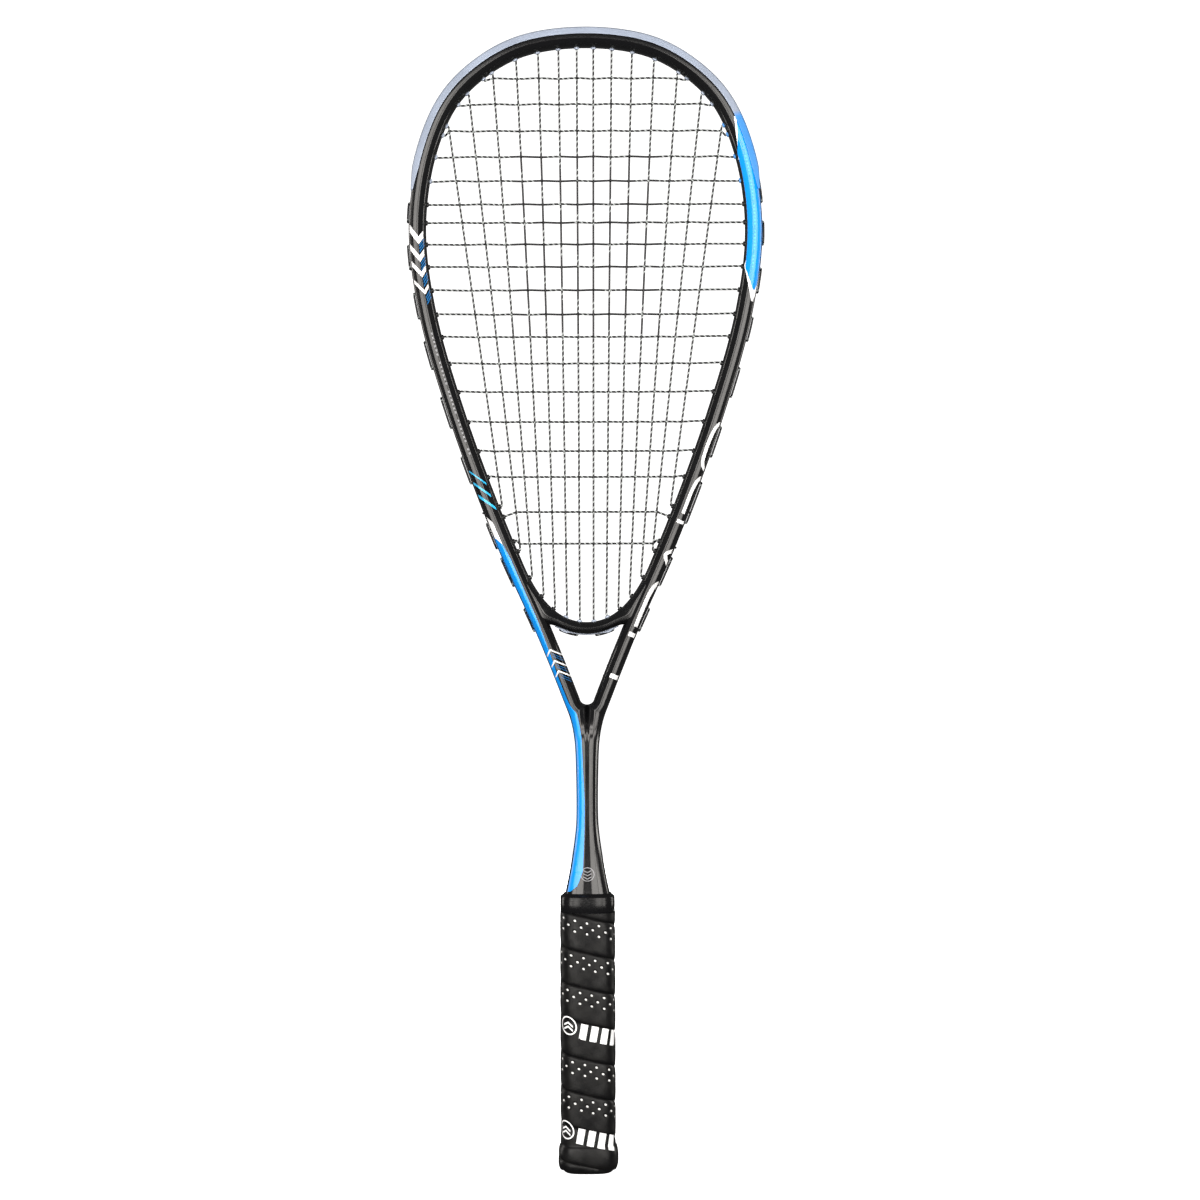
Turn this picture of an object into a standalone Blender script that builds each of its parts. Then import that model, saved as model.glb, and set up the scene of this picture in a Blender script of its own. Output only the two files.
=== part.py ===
"""Squash racket standing on its butt: +Z runs up the shaft to the head, X is across the strings, -Y is front.

The origin is the middle of the butt cap's flat end. Driving sizes are in millimetres, and MM turns them into
Blender's metres where an object is made. Whatever fits something else is worked out from the same values.
"""

import math

import bmesh
import bpy
import numpy as np

MM = 0.001

# Overall sizes
HANDLE_LENGTH = 166.0  # butt to the top of the grip
SHAFT_LENGTH = 100.0  # top of the grip to the fork, where the two arms part
HEAD_LENGTH = 417.5  # fork to the top of the bare frame tube
HEAD_WIDTH = 212.0  # across the bare frame tube

# Frame tube
BEAM_DEPTH = 18.5  # front to back round the head
ARM_DEPTH = 20.0  # front to back at the throat
SHAFT_DEPTH = 19.0
TOP_TUBE_WIDTH = 9.5  # outer edge to inner edge, in the plane of the strings
SIDE_TUBE_WIDTH = 10.4
ARM_TUBE_WIDTH = 9.5
WALL = 1.3
NECK_WIDTH = 13.2  # narrowest stretch of the shaft
FLARE_WIDTH = 27.2  # shaft where it meets the grip
FLARE_DEPTH = 23.0
FLARE_RISE = 45.0
TAIL_WIDTH = 24.0  # hairpin legs inside the handle
TAIL_DEPTH = 19.0
CROTCH_RADIUS = 4.5
VALLEY_LENGTH = 24.0  # how far the groove between the two legs runs down the shaft

# Bridge across the throat
THROAT_HEIGHT = 49.5  # crotch to the bridge's string side
BRIDGE_HEIGHT = 7.2
BRIDGE_DEPTH = 17.0
BRIDGE_WING = 36.0  # how far its ends climb along the arms
BRIDGE_GUSSET = 4.5  # extra height where it meets an arm
BRIDGE_SWEEP = (24.0, 16.0)  # reach of the curve's handles at an arm and at the middle

# Groove that runs round the outside of the hoop
GROOVE_DEPTH = 1.5
GROOVE_WIDTH = 5.6
GROOVE_END = 31.0  # height over the crotch where it starts
GROOVE_FADE = 6.0
LIP = 0.4

# Strings, grommets and guard
STRING_DIAMETER = 1.25
STRING_SIDES = 5
MAINS_PER_SIDE = 7
CROSS_SPACINGS = (15.5, 16, 15.5, 14.5, 14, 11, 13, 13.5, 14, 14.5, 13.5, 16, 17, 18, 17.5, 15.5, 21, 19)
CROSS_TOP_GAP = 18.5  # inside of the hoop to the first cross
CROSS_BOTTOM_GAP = 47.0  # bridge to the last cross
FAN_HIGH = (0.0915, 0.00557)  # main string's offset at the top, as shares of half the head's width
FAN_LOW = (0.0858, -0.0017)
FAN_HEIGHTS = (0.92, 0.321)
BARREL_BORE = 2.0
BARREL_DIAMETER = 3.0
BARREL_PROUD = 1.0
BARREL_SIDES = 5
HOLE_CLEARANCE = 0.5  # frame hole's radius over the barrel's
HOLE_PITCH = 6.6  # least distance between two holes
STRIP_THICKNESS = 1.0
STRIP_START = 0.66  # share of the way from the bridge's tip to its middle where its strip starts
GUARD_PROUD = 2.5
GUARD_SKIN = 0.8
GUARD_FLANGE = 2.6  # how far the guard laps down the hoop's face
GUARD_END = 0.757  # share of the head's length where the guard's ends lie
GUARD_TAPER = 14.0
CHANNEL_DRAFT = 0.5  # how much wider the guard's channel is at its mouth, on each side

# Handle
CORE_WIDTH = 29.2  # moulded foam under the grip tape
CORE_DEPTH = 25.0
HANDLE_SIDES = 16
CAP_PLATE = 3.0
CAP_SKIRT = 1.2
CAP_HEIGHT = 16.0
CAP_ROUND = 3.2
TAPE_WIDTH = 25.0
TAPE_PITCH = 21.15
TAPE_THICKNESS = 1.5
TAPE_SKIVE = 0.5  # thickness of the edge that the next turn covers
TAPE_SEAM = 0.7
TAPE_START = 2.5  # height of the tape's lowest edge
BAND_HEIGHT = 11.6
BAND_LAP = 1.4  # how far the band reaches up the shaft from the top of the grip

GAP = 0.3  # between neighbours that touch

# Half outline of the hoop's outer edge: share of half the width, share of the length above the fork
HEAD_SHAPE = (
    (0.0, 1.0), (0.373, 0.987), (0.627, 0.952), (0.811, 0.903), (0.943, 0.823), (1.0, 0.716),
    (0.946, 0.598), (0.780, 0.448), (0.521, 0.270), (0.270, 0.1265), (0.135, 0.0407),
)
# The shaft just below, as extra half width over the neck and height over the fork
FORK_SHAPE = ((3.3, 5.0), (1.0, -7.0), (0.1, -26.0))
FLARE_STEPS = (0.8, 0.5, 0.25, 0.0)
FLARE_POWER = 1.4

# Half sections, outer edge to inner edge: share of the width, share of the half depth.
# The first two points are the groove's floor and lip, whose depth is set by the groove instead.
ARM_SECTION = ((0, 0), (0, 0), (0.06, 0.66), (0.28, 0.96), (0.54, 1.0), (0.86, 0.74), (1, 0.32))
SHAFT_SECTION = ((0, 0), (0, 0), (0.08, 0.6), (0.26, 0.84), (0.5, 0.95), (0.8, 1), (1, 1))
ARM_CAVITY = ((0, 0.3), (0.18, 0.86), (0.7, 0.86), (1, 0.3))
SHAFT_CAVITY = ((0, 0.3), (0.18, 0.76), (0.7, 0.96), (1, 1))

Z_FORK = HANDLE_LENGTH + SHAFT_LENGTH
Z_TUBE_TOP = Z_FORK + HEAD_LENGTH
TAIL_END = CAP_PLATE + GAP
STRING_RADIUS = STRING_DIAMETER / 2
WEAVE = STRING_DIAMETER + GAP  # how far a cross string rises over a main
LOOP_OFFSET = STRING_DIAMETER + GAP / 2  # mains' loops lie behind the middle of the groove, crosses' in front
CHANNEL = LOOP_OFFSET + STRING_RADIUS + 0.175  # half the width of the guard's channel at its floor


# ---------------------------------------------------------------- objects and materials

def clear_scene():
    for obj in list(bpy.data.objects):
        bpy.data.objects.remove(obj)


def material(name, colour, roughness, metallic=0.0):
    made = bpy.data.materials.new(name)
    made.use_nodes = True
    shader = made.node_tree.nodes["Principled BSDF"]
    shader.inputs["Base Color"].default_value = (*colour, 1.0)
    shader.inputs["Roughness"].default_value = roughness
    shader.inputs["Metallic"].default_value = metallic
    return made


def add_mesh(name, vertices, faces, finish=None):
    """An object of millimetre vertices, with its doubles merged and its faces turned outwards."""
    mesh = bpy.data.meshes.new(name)
    mesh.from_pydata((np.asarray(vertices) * MM).tolist(), [], [list(map(int, face)) for face in faces])
    shape = bmesh.new()
    shape.from_mesh(mesh)
    bmesh.ops.remove_doubles(shape, verts=shape.verts, dist=1e-6)
    open_edges = [edge for edge in shape.edges if edge.is_boundary]
    bmesh.ops.holes_fill(shape, edges=open_edges, sides=0)
    bmesh.ops.recalc_face_normals(shape, faces=shape.faces)
    shape.to_mesh(mesh)
    shape.free()
    mesh.shade_smooth()
    mesh.set_sharp_from_angle(angle=math.radians(40))
    obj = bpy.data.objects.new(name, mesh)
    bpy.context.scene.collection.objects.link(obj)
    if finish:
        mesh.materials.append(finish)
    return obj


def make_cutter(obj):
    obj.hide_render = True
    obj.display_type = "WIRE"
    return obj


def boolean(obj, other, operation):
    modifier = obj.modifiers.new(operation.title(), "BOOLEAN")
    modifier.operation = operation
    modifier.solver = "EXACT"
    modifier.object = make_cutter(other)


def loft(rings, skipped=()):
    """Quads between rings of equally many points. Skipped holds (ring, side) pairs to leave open."""
    count = len(rings[0])
    faces = [
        (j * count + i, j * count + (i + 1) % count, (j + 1) * count + (i + 1) % count, (j + 1) * count + i)
        for j in range(len(rings) - 1)
        for i in range(count)
        if (j, i) not in skipped
    ]
    return np.vstack(rings), faces


def join_shapes(shapes):
    """One vertex array and one face list out of several closed shapes."""
    vertices, faces, start = [], [], 0
    for points, sides in shapes:
        vertices.append(points)
        faces += [tuple(start + i for i in side) for side in sides]
        start += len(points)
    return np.vstack(vertices), faces


def trim_flat(obj, height, side):
    """Cuts off everything above the height, or below it for a side of -1, and closes the cut."""
    shape = bmesh.new()
    shape.from_mesh(obj.data)
    bmesh.ops.bisect_plane(shape, geom=[*shape.verts, *shape.edges, *shape.faces],
                           plane_co=(0, 0, height * MM), plane_no=(0, 0, side), clear_outer=True)
    bmesh.ops.holes_fill(shape, edges=[edge for edge in shape.edges if edge.is_boundary], sides=0)
    bmesh.ops.recalc_face_normals(shape, faces=shape.faces)
    shape.to_mesh(obj.data)
    shape.free()


def mirrored(points):
    return np.asarray(points) * (-1, 1, 1)


def unit(vector):
    vector = np.asarray(vector, float)
    return vector / np.linalg.norm(vector, axis=-1, keepdims=True)


def smooth_curve(points, per_span=30):
    """A centripetal Catmull-Rom curve through the points, with its ends drawn on in a straight line."""
    points = np.asarray(points, float)
    ends = 2 * points[0] - points[1], 2 * points[-1] - points[-2]
    points = np.vstack([ends[0], points, ends[1]])
    found = []
    for p0, p1, p2, p3 in zip(points, points[1:], points[2:], points[3:]):
        t1 = np.sqrt(np.linalg.norm(p1 - p0))
        t2 = t1 + np.sqrt(np.linalg.norm(p2 - p1))
        t3 = t2 + np.sqrt(np.linalg.norm(p3 - p2))
        t = np.linspace(t1, t2, per_span, endpoint=False)[:, None]
        a1 = p0 * (t1 - t) / t1 + p1 * t / t1
        a2 = p1 * (t2 - t) / (t2 - t1) + p2 * (t - t1) / (t2 - t1)
        a3 = p2 * (t3 - t) / (t3 - t2) + p3 * (t - t2) / (t3 - t2)
        b1 = a1 * (t2 - t) / t2 + a2 * t / t2
        b2 = a2 * (t3 - t) / (t3 - t1) + a3 * (t - t1) / (t3 - t1)
        found.append(b1 * (t2 - t) / (t2 - t1) + b2 * (t - t1) / (t2 - t1))
    return np.vstack([*found, points[-2]])


def prism(start, end, radius, sides):
    """A straight bar of that many sides between two points."""
    start, end = np.asarray(start, float), np.asarray(end, float)
    along = unit(end - start)
    across = unit(np.cross(along, (0, 1, 0)))
    up = np.cross(along, across)
    angles = (np.arange(sides) + 0.5) * 2 * math.pi / sides
    ring = radius * (np.outer(np.cos(angles), across) + np.outer(np.sin(angles), up))
    points, faces = loft([start + ring, end + ring])
    return points, [*faces, tuple(range(sides)), tuple(range(sides, 2 * sides))]


def round_section(half_width, half_depth, sides, power=2.6):
    """Points round a superellipse in X and Y, starting at +X."""
    angles = np.arange(sides) * 2 * math.pi / sides
    cos, sin = np.cos(angles), np.sin(angles)
    reach = (np.abs(cos / half_width) ** power + np.abs(sin / half_depth) ** power) ** (-1 / power)
    return np.stack([reach * cos, reach * sin], axis=1)


# ---------------------------------------------------------------- frame outline

class Hairpin:
    """The left half of the frame tube, sampled from the top of the hoop down to the grip.

    s is the distance along the outer edge. For each sample, outer and inner are the tube's two edges in X and
    Z, half_depth its half thickness, groove the depth of the string groove, and blend how far the section has
    changed from a tube's to half of the shaft's.
    """

    def __init__(self):
        half = HEAD_WIDTH / 2
        neck, flare = NECK_WIDTH / 2, FLARE_WIDTH / 2
        head = [(half * x, Z_FORK + HEAD_LENGTH * z) for x, z in HEAD_SHAPE]
        fork = [(neck + x, Z_FORK + z) for x, z in FORK_SHAPE]
        rise = [
            (neck + (flare - neck) * (1 - u) ** FLARE_POWER, HANDLE_LENGTH + FLARE_RISE * u)
            for u in (1.0, *FLARE_STEPS)
        ]
        guide = [(-head[1][0], head[1][1]), *head, *fork, *rise]
        curve = smooth_curve(guide)
        curve = curve[np.argmin(np.abs(curve[:60, 0])):]
        curve[0, 0] = 0
        self.outer = curve * (-1, 1)
        steps = np.linalg.norm(np.diff(self.outer, axis=0), axis=1)
        self.s = np.concatenate([[0], np.cumsum(steps)])
        tangent = unit(np.gradient(self.outer, self.s, axis=0))
        tangent[0] = (-1, 0)
        self.inward = np.stack([-tangent[:, 1], tangent[:, 0]], axis=1)
        z = self.outer[:, 1]
        height = (z - Z_FORK) / HEAD_LENGTH
        self.width = np.interp(height, (0.12, 0.24, 0.7, 1.0),
                               (ARM_TUBE_WIDTH, SIDE_TUBE_WIDTH, SIDE_TUBE_WIDTH, TOP_TUBE_WIDTH))
        self.inner = self.outer + self.inward * self.width[:, None]
        self._round_the_crotch()
        z_flare = HANDLE_LENGTH + FLARE_RISE / 2
        self.half_depth = np.interp(z, (HANDLE_LENGTH, z_flare, Z_FORK, self.z_crotch + THROAT_HEIGHT,
                                        Z_FORK + 0.4 * HEAD_LENGTH),
                                    (FLARE_DEPTH / 2, SHAFT_DEPTH / 2, ARM_DEPTH / 2, ARM_DEPTH / 2,
                                     BEAM_DEPTH / 2))
        self.groove = GROOVE_DEPTH * np.clip((z - self.z_crotch - GROOVE_END) / GROOVE_FADE, 0, 1)
        self.blend = np.clip((self.z_crotch - z) / VALLEY_LENGTH, 0, 1) ** 0.7

    def _round_the_crotch(self):
        """Ends the inner edge in an arc that meets the other arm's at the middle."""
        centres = self.inner + self.inward * CROTCH_RADIUS
        below_side = np.argmin(self.outer[:, 0])
        first = below_side + int(np.argmax(centres[below_side:, 0] >= 0))
        centre = np.array([0.0, centres[first, 1]])
        self.z_crotch = centre[1] - CROTCH_RADIUS
        last = first + int(np.argmax(self.outer[first:, 1] < self.z_crotch - 1))
        start = math.atan2(self.inward[first, 1], self.inward[first, 0])
        angle = np.linspace(start, math.pi / 2, last - first + 1)
        arc = centre - CROTCH_RADIUS * np.stack([np.cos(angle), np.sin(angle)], axis=1)
        self.inner[first:last + 1] = arc
        self.inner[last:, 0] = 0
        self.inner[last + 1:, 1] = self.outer[last + 1:, 1]
        self.first_arc, self.s_crotch = self.s[first], self.s[last]

    def at(self, s, values):
        """Any of the sampled arrays at the distances s."""
        s = np.atleast_1d(s)
        columns = np.atleast_2d(values.T)
        return np.stack([np.interp(s, self.s, column) for column in columns], axis=1).squeeze()

    def s_of_height(self, z):
        """Distance along the outer edge from the top down to the height z."""
        return float(np.interp(z, self.outer[::-1, 1], self.s[::-1]))


FRAME = Hairpin()


def section_ring(outer, inner, half_depth, groove=0.0, blend=0.0):
    """A closed ring round the tube between its outer and inner edges, front half first."""
    arm, shaft = np.array(ARM_SECTION, float), np.array(SHAFT_SECTION, float)
    shares = arm + (shaft - arm) * blend
    along = inner - outer
    width = np.linalg.norm(along)
    depth = shares[:, 1] * half_depth
    depth[0], depth[1] = GROOVE_WIDTH / 2, GROOVE_WIDTH / 2 + LIP
    across = shares[:, 0].copy()
    across[0] = groove / width
    plan = outer + across[:, None] * along
    front = np.stack([plan[:, 0], -depth, plan[:, 1]], axis=1)
    return np.vstack([front, front[::-1] * (1, -1, 1)])


def cavity_ring(outer, inner, half_depth, groove, blend):
    """A closed ring round the hollow inside the same stretch of tube."""
    arm, shaft = np.array(ARM_CAVITY, float), np.array(SHAFT_CAVITY, float)
    shares = arm + (shaft - arm) * blend
    along = unit(inner - outer)
    start = outer + along * (WALL + groove)
    end = inner - along * (WALL if inner[0] < -WALL else WALL / 2)
    plan = start + shares[:, :1] * (end - start)
    front = np.stack([plan[:, 0], -shares[:, 1] * (half_depth - WALL), plan[:, 1]], axis=1)
    return np.vstack([front, front[::-1] * (1, -1, 1)])


def frame_stations():
    """Distances where the tube gets a ring, closest together where it bends."""
    hoop = np.linspace(0, FRAME.first_arc, 25)
    fork = np.linspace(FRAME.first_arc, FRAME.s_crotch, 4)[1:]
    valley = FRAME.s_crotch + VALLEY_LENGTH * np.array((0.3, 1.0))
    shaft = np.linspace(valley[-1], FRAME.s[-1], 7)[1:]
    return np.concatenate([hoop, fork, valley, shaft])


def tube_rings(make_ring, extra_tail=0.0):
    """Rings of the left half, top first, ending with the stretch inside the handle."""
    rings = []
    for s in frame_stations():
        outer, inner = FRAME.at(s, FRAME.outer), FRAME.at(s, FRAME.inner)
        rings.append(make_ring(outer, inner, *(float(FRAME.at(s, v))
                                              for v in (FRAME.half_depth, FRAME.groove, FRAME.blend))))
    for z in (HANDLE_LENGTH - GAP, TAIL_END - extra_tail):
        rings.append(make_ring(np.array([-TAIL_WIDTH / 2, z]), np.array([0.0, z]), TAIL_DEPTH / 2, 0.0, 1.0))
    return rings


def grown_ring(outer, inner, half_depth, groove, blend):
    """A ring that clears the tube by the gap, without its groove."""
    across = unit(inner - outer) * GAP
    return section_ring(outer - across, inner + across * (inner[0] < 0), half_depth + GAP, 0.0, blend)


def frame_skin(make_ring=section_ring, extra_tail=0.0):
    """The outside of the whole hairpin as vertices and faces."""
    rings = tube_rings(make_ring, extra_tail)
    rings[0][:, 0] = 0
    crotch = int(np.argmax(frame_stations() >= FRAME.s_crotch - 1e-9))
    middle = len(ARM_SECTION) - 1
    for ring in rings[crotch:]:
        ring[[middle, middle + 1], 0] = 0
    skipped = {(j, middle) for j in range(crotch, len(rings) - 1)}
    left = loft(rings, skipped)
    right = loft([mirrored(ring) for ring in rings], skipped)
    return join_shapes([left, right])


def make_frame(finish):
    frame = add_mesh("frame", *frame_skin(), finish)
    rings = tube_rings(cavity_ring, extra_tail=10.0)
    rings[0][:, 0] = 0
    hollow = add_mesh("frame_hollow", *loft([*rings[::-1], *map(mirrored, rings[1:])]))
    boolean(frame, hollow, "DIFFERENCE")
    holes = drilled([hole for hole in LEFT_HOLES if hole.in_frame])
    boolean(frame, add_mesh("frame_holes", *holes), "DIFFERENCE")
    return frame


# ---------------------------------------------------------------- bridge

class Bridge:
    """The bar across the throat. t runs from 0 at its left tip to 1 at its middle."""

    def __init__(self):
        self.z_middle = FRAME.z_crotch + THROAT_HEIGHT
        tip = int(np.argmax((FRAME.inner[:, 1] < self.z_middle + BRIDGE_WING) & (FRAME.s > FRAME.s[-1] / 4)))
        start = FRAME.inner[tip]
        down = unit(FRAME.inner[tip + 1] - FRAME.inner[tip])
        end = np.array([0.0, self.z_middle])
        handles = start + down * BRIDGE_SWEEP[0], end - (BRIDGE_SWEEP[1], 0)
        t = np.linspace(0, 1, 120)[:, None]
        self.t = t[:, 0]
        self.inner = ((1 - t) ** 3 * start + 3 * (1 - t) ** 2 * t * handles[0]
                      + 3 * (1 - t) * t ** 2 * handles[1] + t ** 3 * end)
        tangent = unit(np.gradient(self.inner, axis=0))
        tangent[-1] = (1, 0)
        self.outward = np.stack([tangent[:, 1], -tangent[:, 0]], axis=1)
        bump = np.exp(-(((self.t - 0.5) / 0.1) ** 2))
        height = BRIDGE_HEIGHT + BRIDGE_GUSSET * bump
        self.outer = self.inner + self.outward * height[:, None]
        self.groove = STRIP_THICKNESS * np.clip((self.t - STRIP_START + 0.06) / 0.06, 0, 1)

    def at(self, t, values):
        columns = np.atleast_2d(values.T)
        return np.stack([np.interp(np.atleast_1d(t), self.t, column) for column in columns], axis=1).squeeze()


BRIDGE = Bridge()


def bridge_stations():
    """Where the bar gets a ring, with one at each of its holes."""
    holes = [hole.at for hole in LEFT_HOLES if hole.place == "bridge"]
    return sorted([0.0, 0.12, 0.26, 0.4, 0.5, 0.6, STRIP_START, 0.82, 1.0, *holes])


def make_bridge(finish):
    rings = []
    for t in bridge_stations():
        ring = section_ring(BRIDGE.at(t, BRIDGE.outer), BRIDGE.at(t, BRIDGE.inner), BRIDGE_DEPTH / 2,
                            float(BRIDGE.at(t, BRIDGE.groove)))
        rings.append(ring)
    rings[-1][:, 0] = 0
    bridge = add_mesh("throat_bridge", *loft([*rings, *map(mirrored, rings[-2::-1])]), finish)
    boolean(bridge, add_mesh("bridge_seat", *frame_skin(grown_ring)), "DIFFERENCE")
    holes = drilled([hole for hole in LEFT_HOLES if hole.in_bridge])
    boolean(bridge, add_mesh("bridge_holes", *holes), "DIFFERENCE")
    return bridge


# ---------------------------------------------------------------- string pattern

class Hole:
    """A drilled hole on the left half, running from inside the head to the groove.

    Its place is the hoop, the bridge, or the corner where it runs through the bridge and the arm behind it.
    At is its distance along the frame's outer edge, or along the bridge for a hole in the bridge alone.
    """

    def __init__(self, label, inner, outer, at, place):
        self.label, self.at, self.place = label, at, place
        self.inner, self.outer = np.asarray(inner, float), np.asarray(outer, float)
        self.in_bridge = place in ("bridge", "corner")
        self.in_frame = place in ("hoop", "corner")
        self.groove = STRIP_THICKNESS if place == "bridge" else GROOVE_DEPTH

    def span(self, inside, outside):
        """Two 3-D points on the axis, that far past the inner and the outer edge."""
        along = unit(self.outer - self.inner)
        ends = self.inner - along * inside, self.outer + along * outside
        return [np.array([x, 0.0, z]) for x, z in ends]


def cross_heights():
    top = Z_TUBE_TOP - TOP_TUBE_WIDTH - CROSS_TOP_GAP
    bottom = BRIDGE.z_middle + CROSS_BOTTOM_GAP
    steps = np.concatenate([[0], np.cumsum(CROSS_SPACINGS)])
    return top - (top - bottom) * steps / steps[-1]


def main_line(number):
    """A function that gives the x of a left main string, counted outwards from 1, at any height."""
    u, half = number - 0.5, HEAD_WIDTH / 2
    high, low = (half * (a * u + b * u * u) for a, b in (FAN_HIGH, FAN_LOW))
    z_high, z_low = (Z_FORK + HEAD_LENGTH * share for share in FAN_HEIGHTS)
    return lambda z: -(low + (high - low) * (z - z_low) / (z_high - z_low))


def where_zero(values, positions, start, stop):
    """The first position between start and stop where the sampled values change sign."""
    inside = (positions >= start) & (positions <= stop)
    v, p = values[inside], positions[inside]
    k = int(np.argmax(v[:-1] * v[1:] <= 0))
    return float(p[k] + (p[k + 1] - p[k]) * v[k] / (v[k] - v[k + 1]))


def spread_out(places, least):
    """Moves neighbours that are closer than the least distance apart, each by half of what is missing."""
    places = sorted(places)
    for _ in range(60):
        for low, high in zip(places, places[1:]):
            short = max(0.0, least - (high[0] - low[0]))
            low[0] -= short / 2
            high[0] += short / 2
    return places


def left_holes():
    """Every hole of the left half."""
    s, inner, outer = FRAME.s, FRAME.inner, FRAME.outer
    widest = s[np.argmin(outer[:, 0])]
    bridge_tip = BRIDGE.inner[0]
    places = [[where_zero(inner[:, 1] - z, s, 20.0, FRAME.first_arc), f"cross{k}"]
              for k, z in enumerate(cross_heights())]
    holes = []
    for number in range(1, MAINS_PER_SIDE + 1):
        line = main_line(number)
        offset = inner[:, 0] - line(inner[:, 1])
        places.append([where_zero(offset, s, 0.0, widest), f"top{number}"])
        label = f"low{number}"
        if line(bridge_tip[1]) < bridge_tip[0]:
            places.append([where_zero(offset, s, widest, FRAME.first_arc), label])
            continue
        t = where_zero(BRIDGE.inner[:, 0] - line(BRIDGE.inner[:, 1]), BRIDGE.t, 0.0, 1.0)
        start, out = BRIDGE.at(t, BRIDGE.inner), BRIDGE.at(t, BRIDGE.outward)
        if t > STRIP_START:
            holes.append(Hole(label, start, BRIDGE.at(t, BRIDGE.outer), t, "bridge"))
            continue
        beside = (outer - start) @ np.array([out[1], -out[0]])
        at = where_zero(beside, s, widest, FRAME.first_arc)
        holes.append(Hole(label, start, FRAME.at(at, outer), at, "corner"))
    holes += [Hole(label, FRAME.at(at, inner), FRAME.at(at, outer), at, "hoop")
              for at, label in spread_out(places, HOLE_PITCH)]
    return holes


LEFT_HOLES = left_holes()
BY_LABEL = {hole.label: hole for hole in LEFT_HOLES}


def drilled(holes):
    """Prisms through these holes and their mirrors, as one shape."""
    radius = BARREL_DIAMETER / 2 + HOLE_CLEARANCE
    bars = [prism(*hole.span(3.0, 3.0), radius, BARREL_SIDES) for hole in holes]
    return join_shapes([*bars, *((mirrored(points), faces) for points, faces in bars)])


# ---------------------------------------------------------------- strings

def sweep(path, radius, sides):
    """A cord along the path, mitred at each bend, with flat ends."""
    path = np.asarray(path, float)
    ahead = unit(np.diff(path, axis=0))
    mitres = unit(np.vstack([ahead[:1], ahead[:-1] + ahead[1:], ahead[-1:]]))
    ahead = np.vstack([ahead, ahead[-1:]])
    side = unit(np.cross(ahead[0], (0, 0, 1) if abs(ahead[0][2]) < 0.9 else (0, 1, 0)))
    angles = np.arange(sides) * 2 * math.pi / sides
    offset = radius * (np.outer(np.cos(angles), side) + np.outer(np.sin(angles), np.cross(ahead[0], side)))
    rings, along = [], ahead[0]
    for point, mitre, following in zip(path, mitres, ahead):
        offset = offset - np.outer(offset @ mitre / (along @ mitre), along)
        rings.append(point + offset)
        along = following
        offset = offset - np.outer(offset @ along, along)
    return loft(rings)


def mouth_and_exit(hole):
    """Where a string leaves a grommet inside the head, and where it turns into the groove."""
    return hole.span(BARREL_PROUD + STRING_RADIUS, STRIP_THICKNESS + 2 * GAP + STRING_RADIUS - hole.groove)


def loop(first, second, offset):
    """Points along the groove between two holes of the left half, off to one side of its middle."""
    lift = STRIP_THICKNESS + 2 * GAP + STRING_RADIUS - first.groove
    if first.place == "bridge":
        curve, outward, outer, stations = BRIDGE, BRIDGE.outward, BRIDGE.outer, bridge_stations()
    else:
        curve, outward, outer, stations = FRAME, -FRAME.inward, FRAME.outer, frame_stations()
    start, stop = sorted((first.at, second.at))
    inset = min(2.0, (stop - start) / 4) if curve is FRAME else (stop - start) / 5
    between = [at for at in stations if start + 1.5 * inset < at < stop - 1.5 * inset]
    at = np.array([start + inset, *between, stop - inset])
    if first.at > second.at:
        at = at[::-1]
    points = curve.at(at, outer) + curve.at(at, outward) * lift
    return [np.array([x, offset, z]) for x, z in points]


def flip(points):
    return [point * (-1, 1, 1) for point in points]


def main_string_path():
    """All the mains as one string, from the left outermost main's lower end to the right outermost main's."""
    path, upwards = [], True
    for number in range(MAINS_PER_SIDE, 0, -1):
        low, top = mouth_and_exit(BY_LABEL[f"low{number}"]), mouth_and_exit(BY_LABEL[f"top{number}"])
        path += [low[1], low[0], top[0], top[1]] if upwards else [top[1], top[0], low[0], low[1]]
        if number > 1:
            end = "top" if upwards else "low"
            path += loop(BY_LABEL[f"{end}{number}"], BY_LABEL[f"{end}{number - 1}"], LOOP_OFFSET)
        upwards = not upwards
    top1 = BY_LABEL["top1"]
    groove_run = FRAME.at(top1.at / 2, FRAME.outer - FRAME.inward * (
        STRIP_THICKNESS + 2 * GAP + STRING_RADIUS - GROOVE_DEPTH))
    middle = [np.array([groove_run[0], LOOP_OFFSET, groove_run[1]])]
    left = path + middle
    return left + flip(left[::-1])


def cross_string_path():
    """All the crosses as one string, woven over and under the mains from the top of the head down."""
    mains = [[mouth_and_exit(BY_LABEL[f"{end}{number}"])[0] for end in ("low", "top")]
             for number in range(MAINS_PER_SIDE, 0, -1)]
    path, from_left = [], True
    for k, z in enumerate(cross_heights()):
        hole = BY_LABEL[f"cross{k}"]
        mouth, end = mouth_and_exit(hole)
        inside = [float(np.interp(z, (low[2], top[2]), (low[0], top[0]))) for low, top in mains
                  if low[2] < z < top[2]]
        crossings = [*inside, *(-x for x in inside[::-1])]
        side = 1 if k % 2 else -1
        run = [end, mouth]
        for i, x in enumerate(crossings):
            run.append(np.array([x, side * WEAVE * (-1) ** i, z]))
        run += flip([mouth, end])
        if not from_left:
            run = run[::-1]
        path += run
        if k < len(CROSS_SPACINGS):
            turn = loop(hole, BY_LABEL[f"cross{k + 1}"], -LOOP_OFFSET)
            path += flip(turn) if from_left else turn
        from_left = not from_left
    return path


def make_string(name, path, finish):
    return add_mesh(name, *sweep(path, STRING_RADIUS, STRING_SIDES), finish)


# ---------------------------------------------------------------- guard and grommet strips

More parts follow.
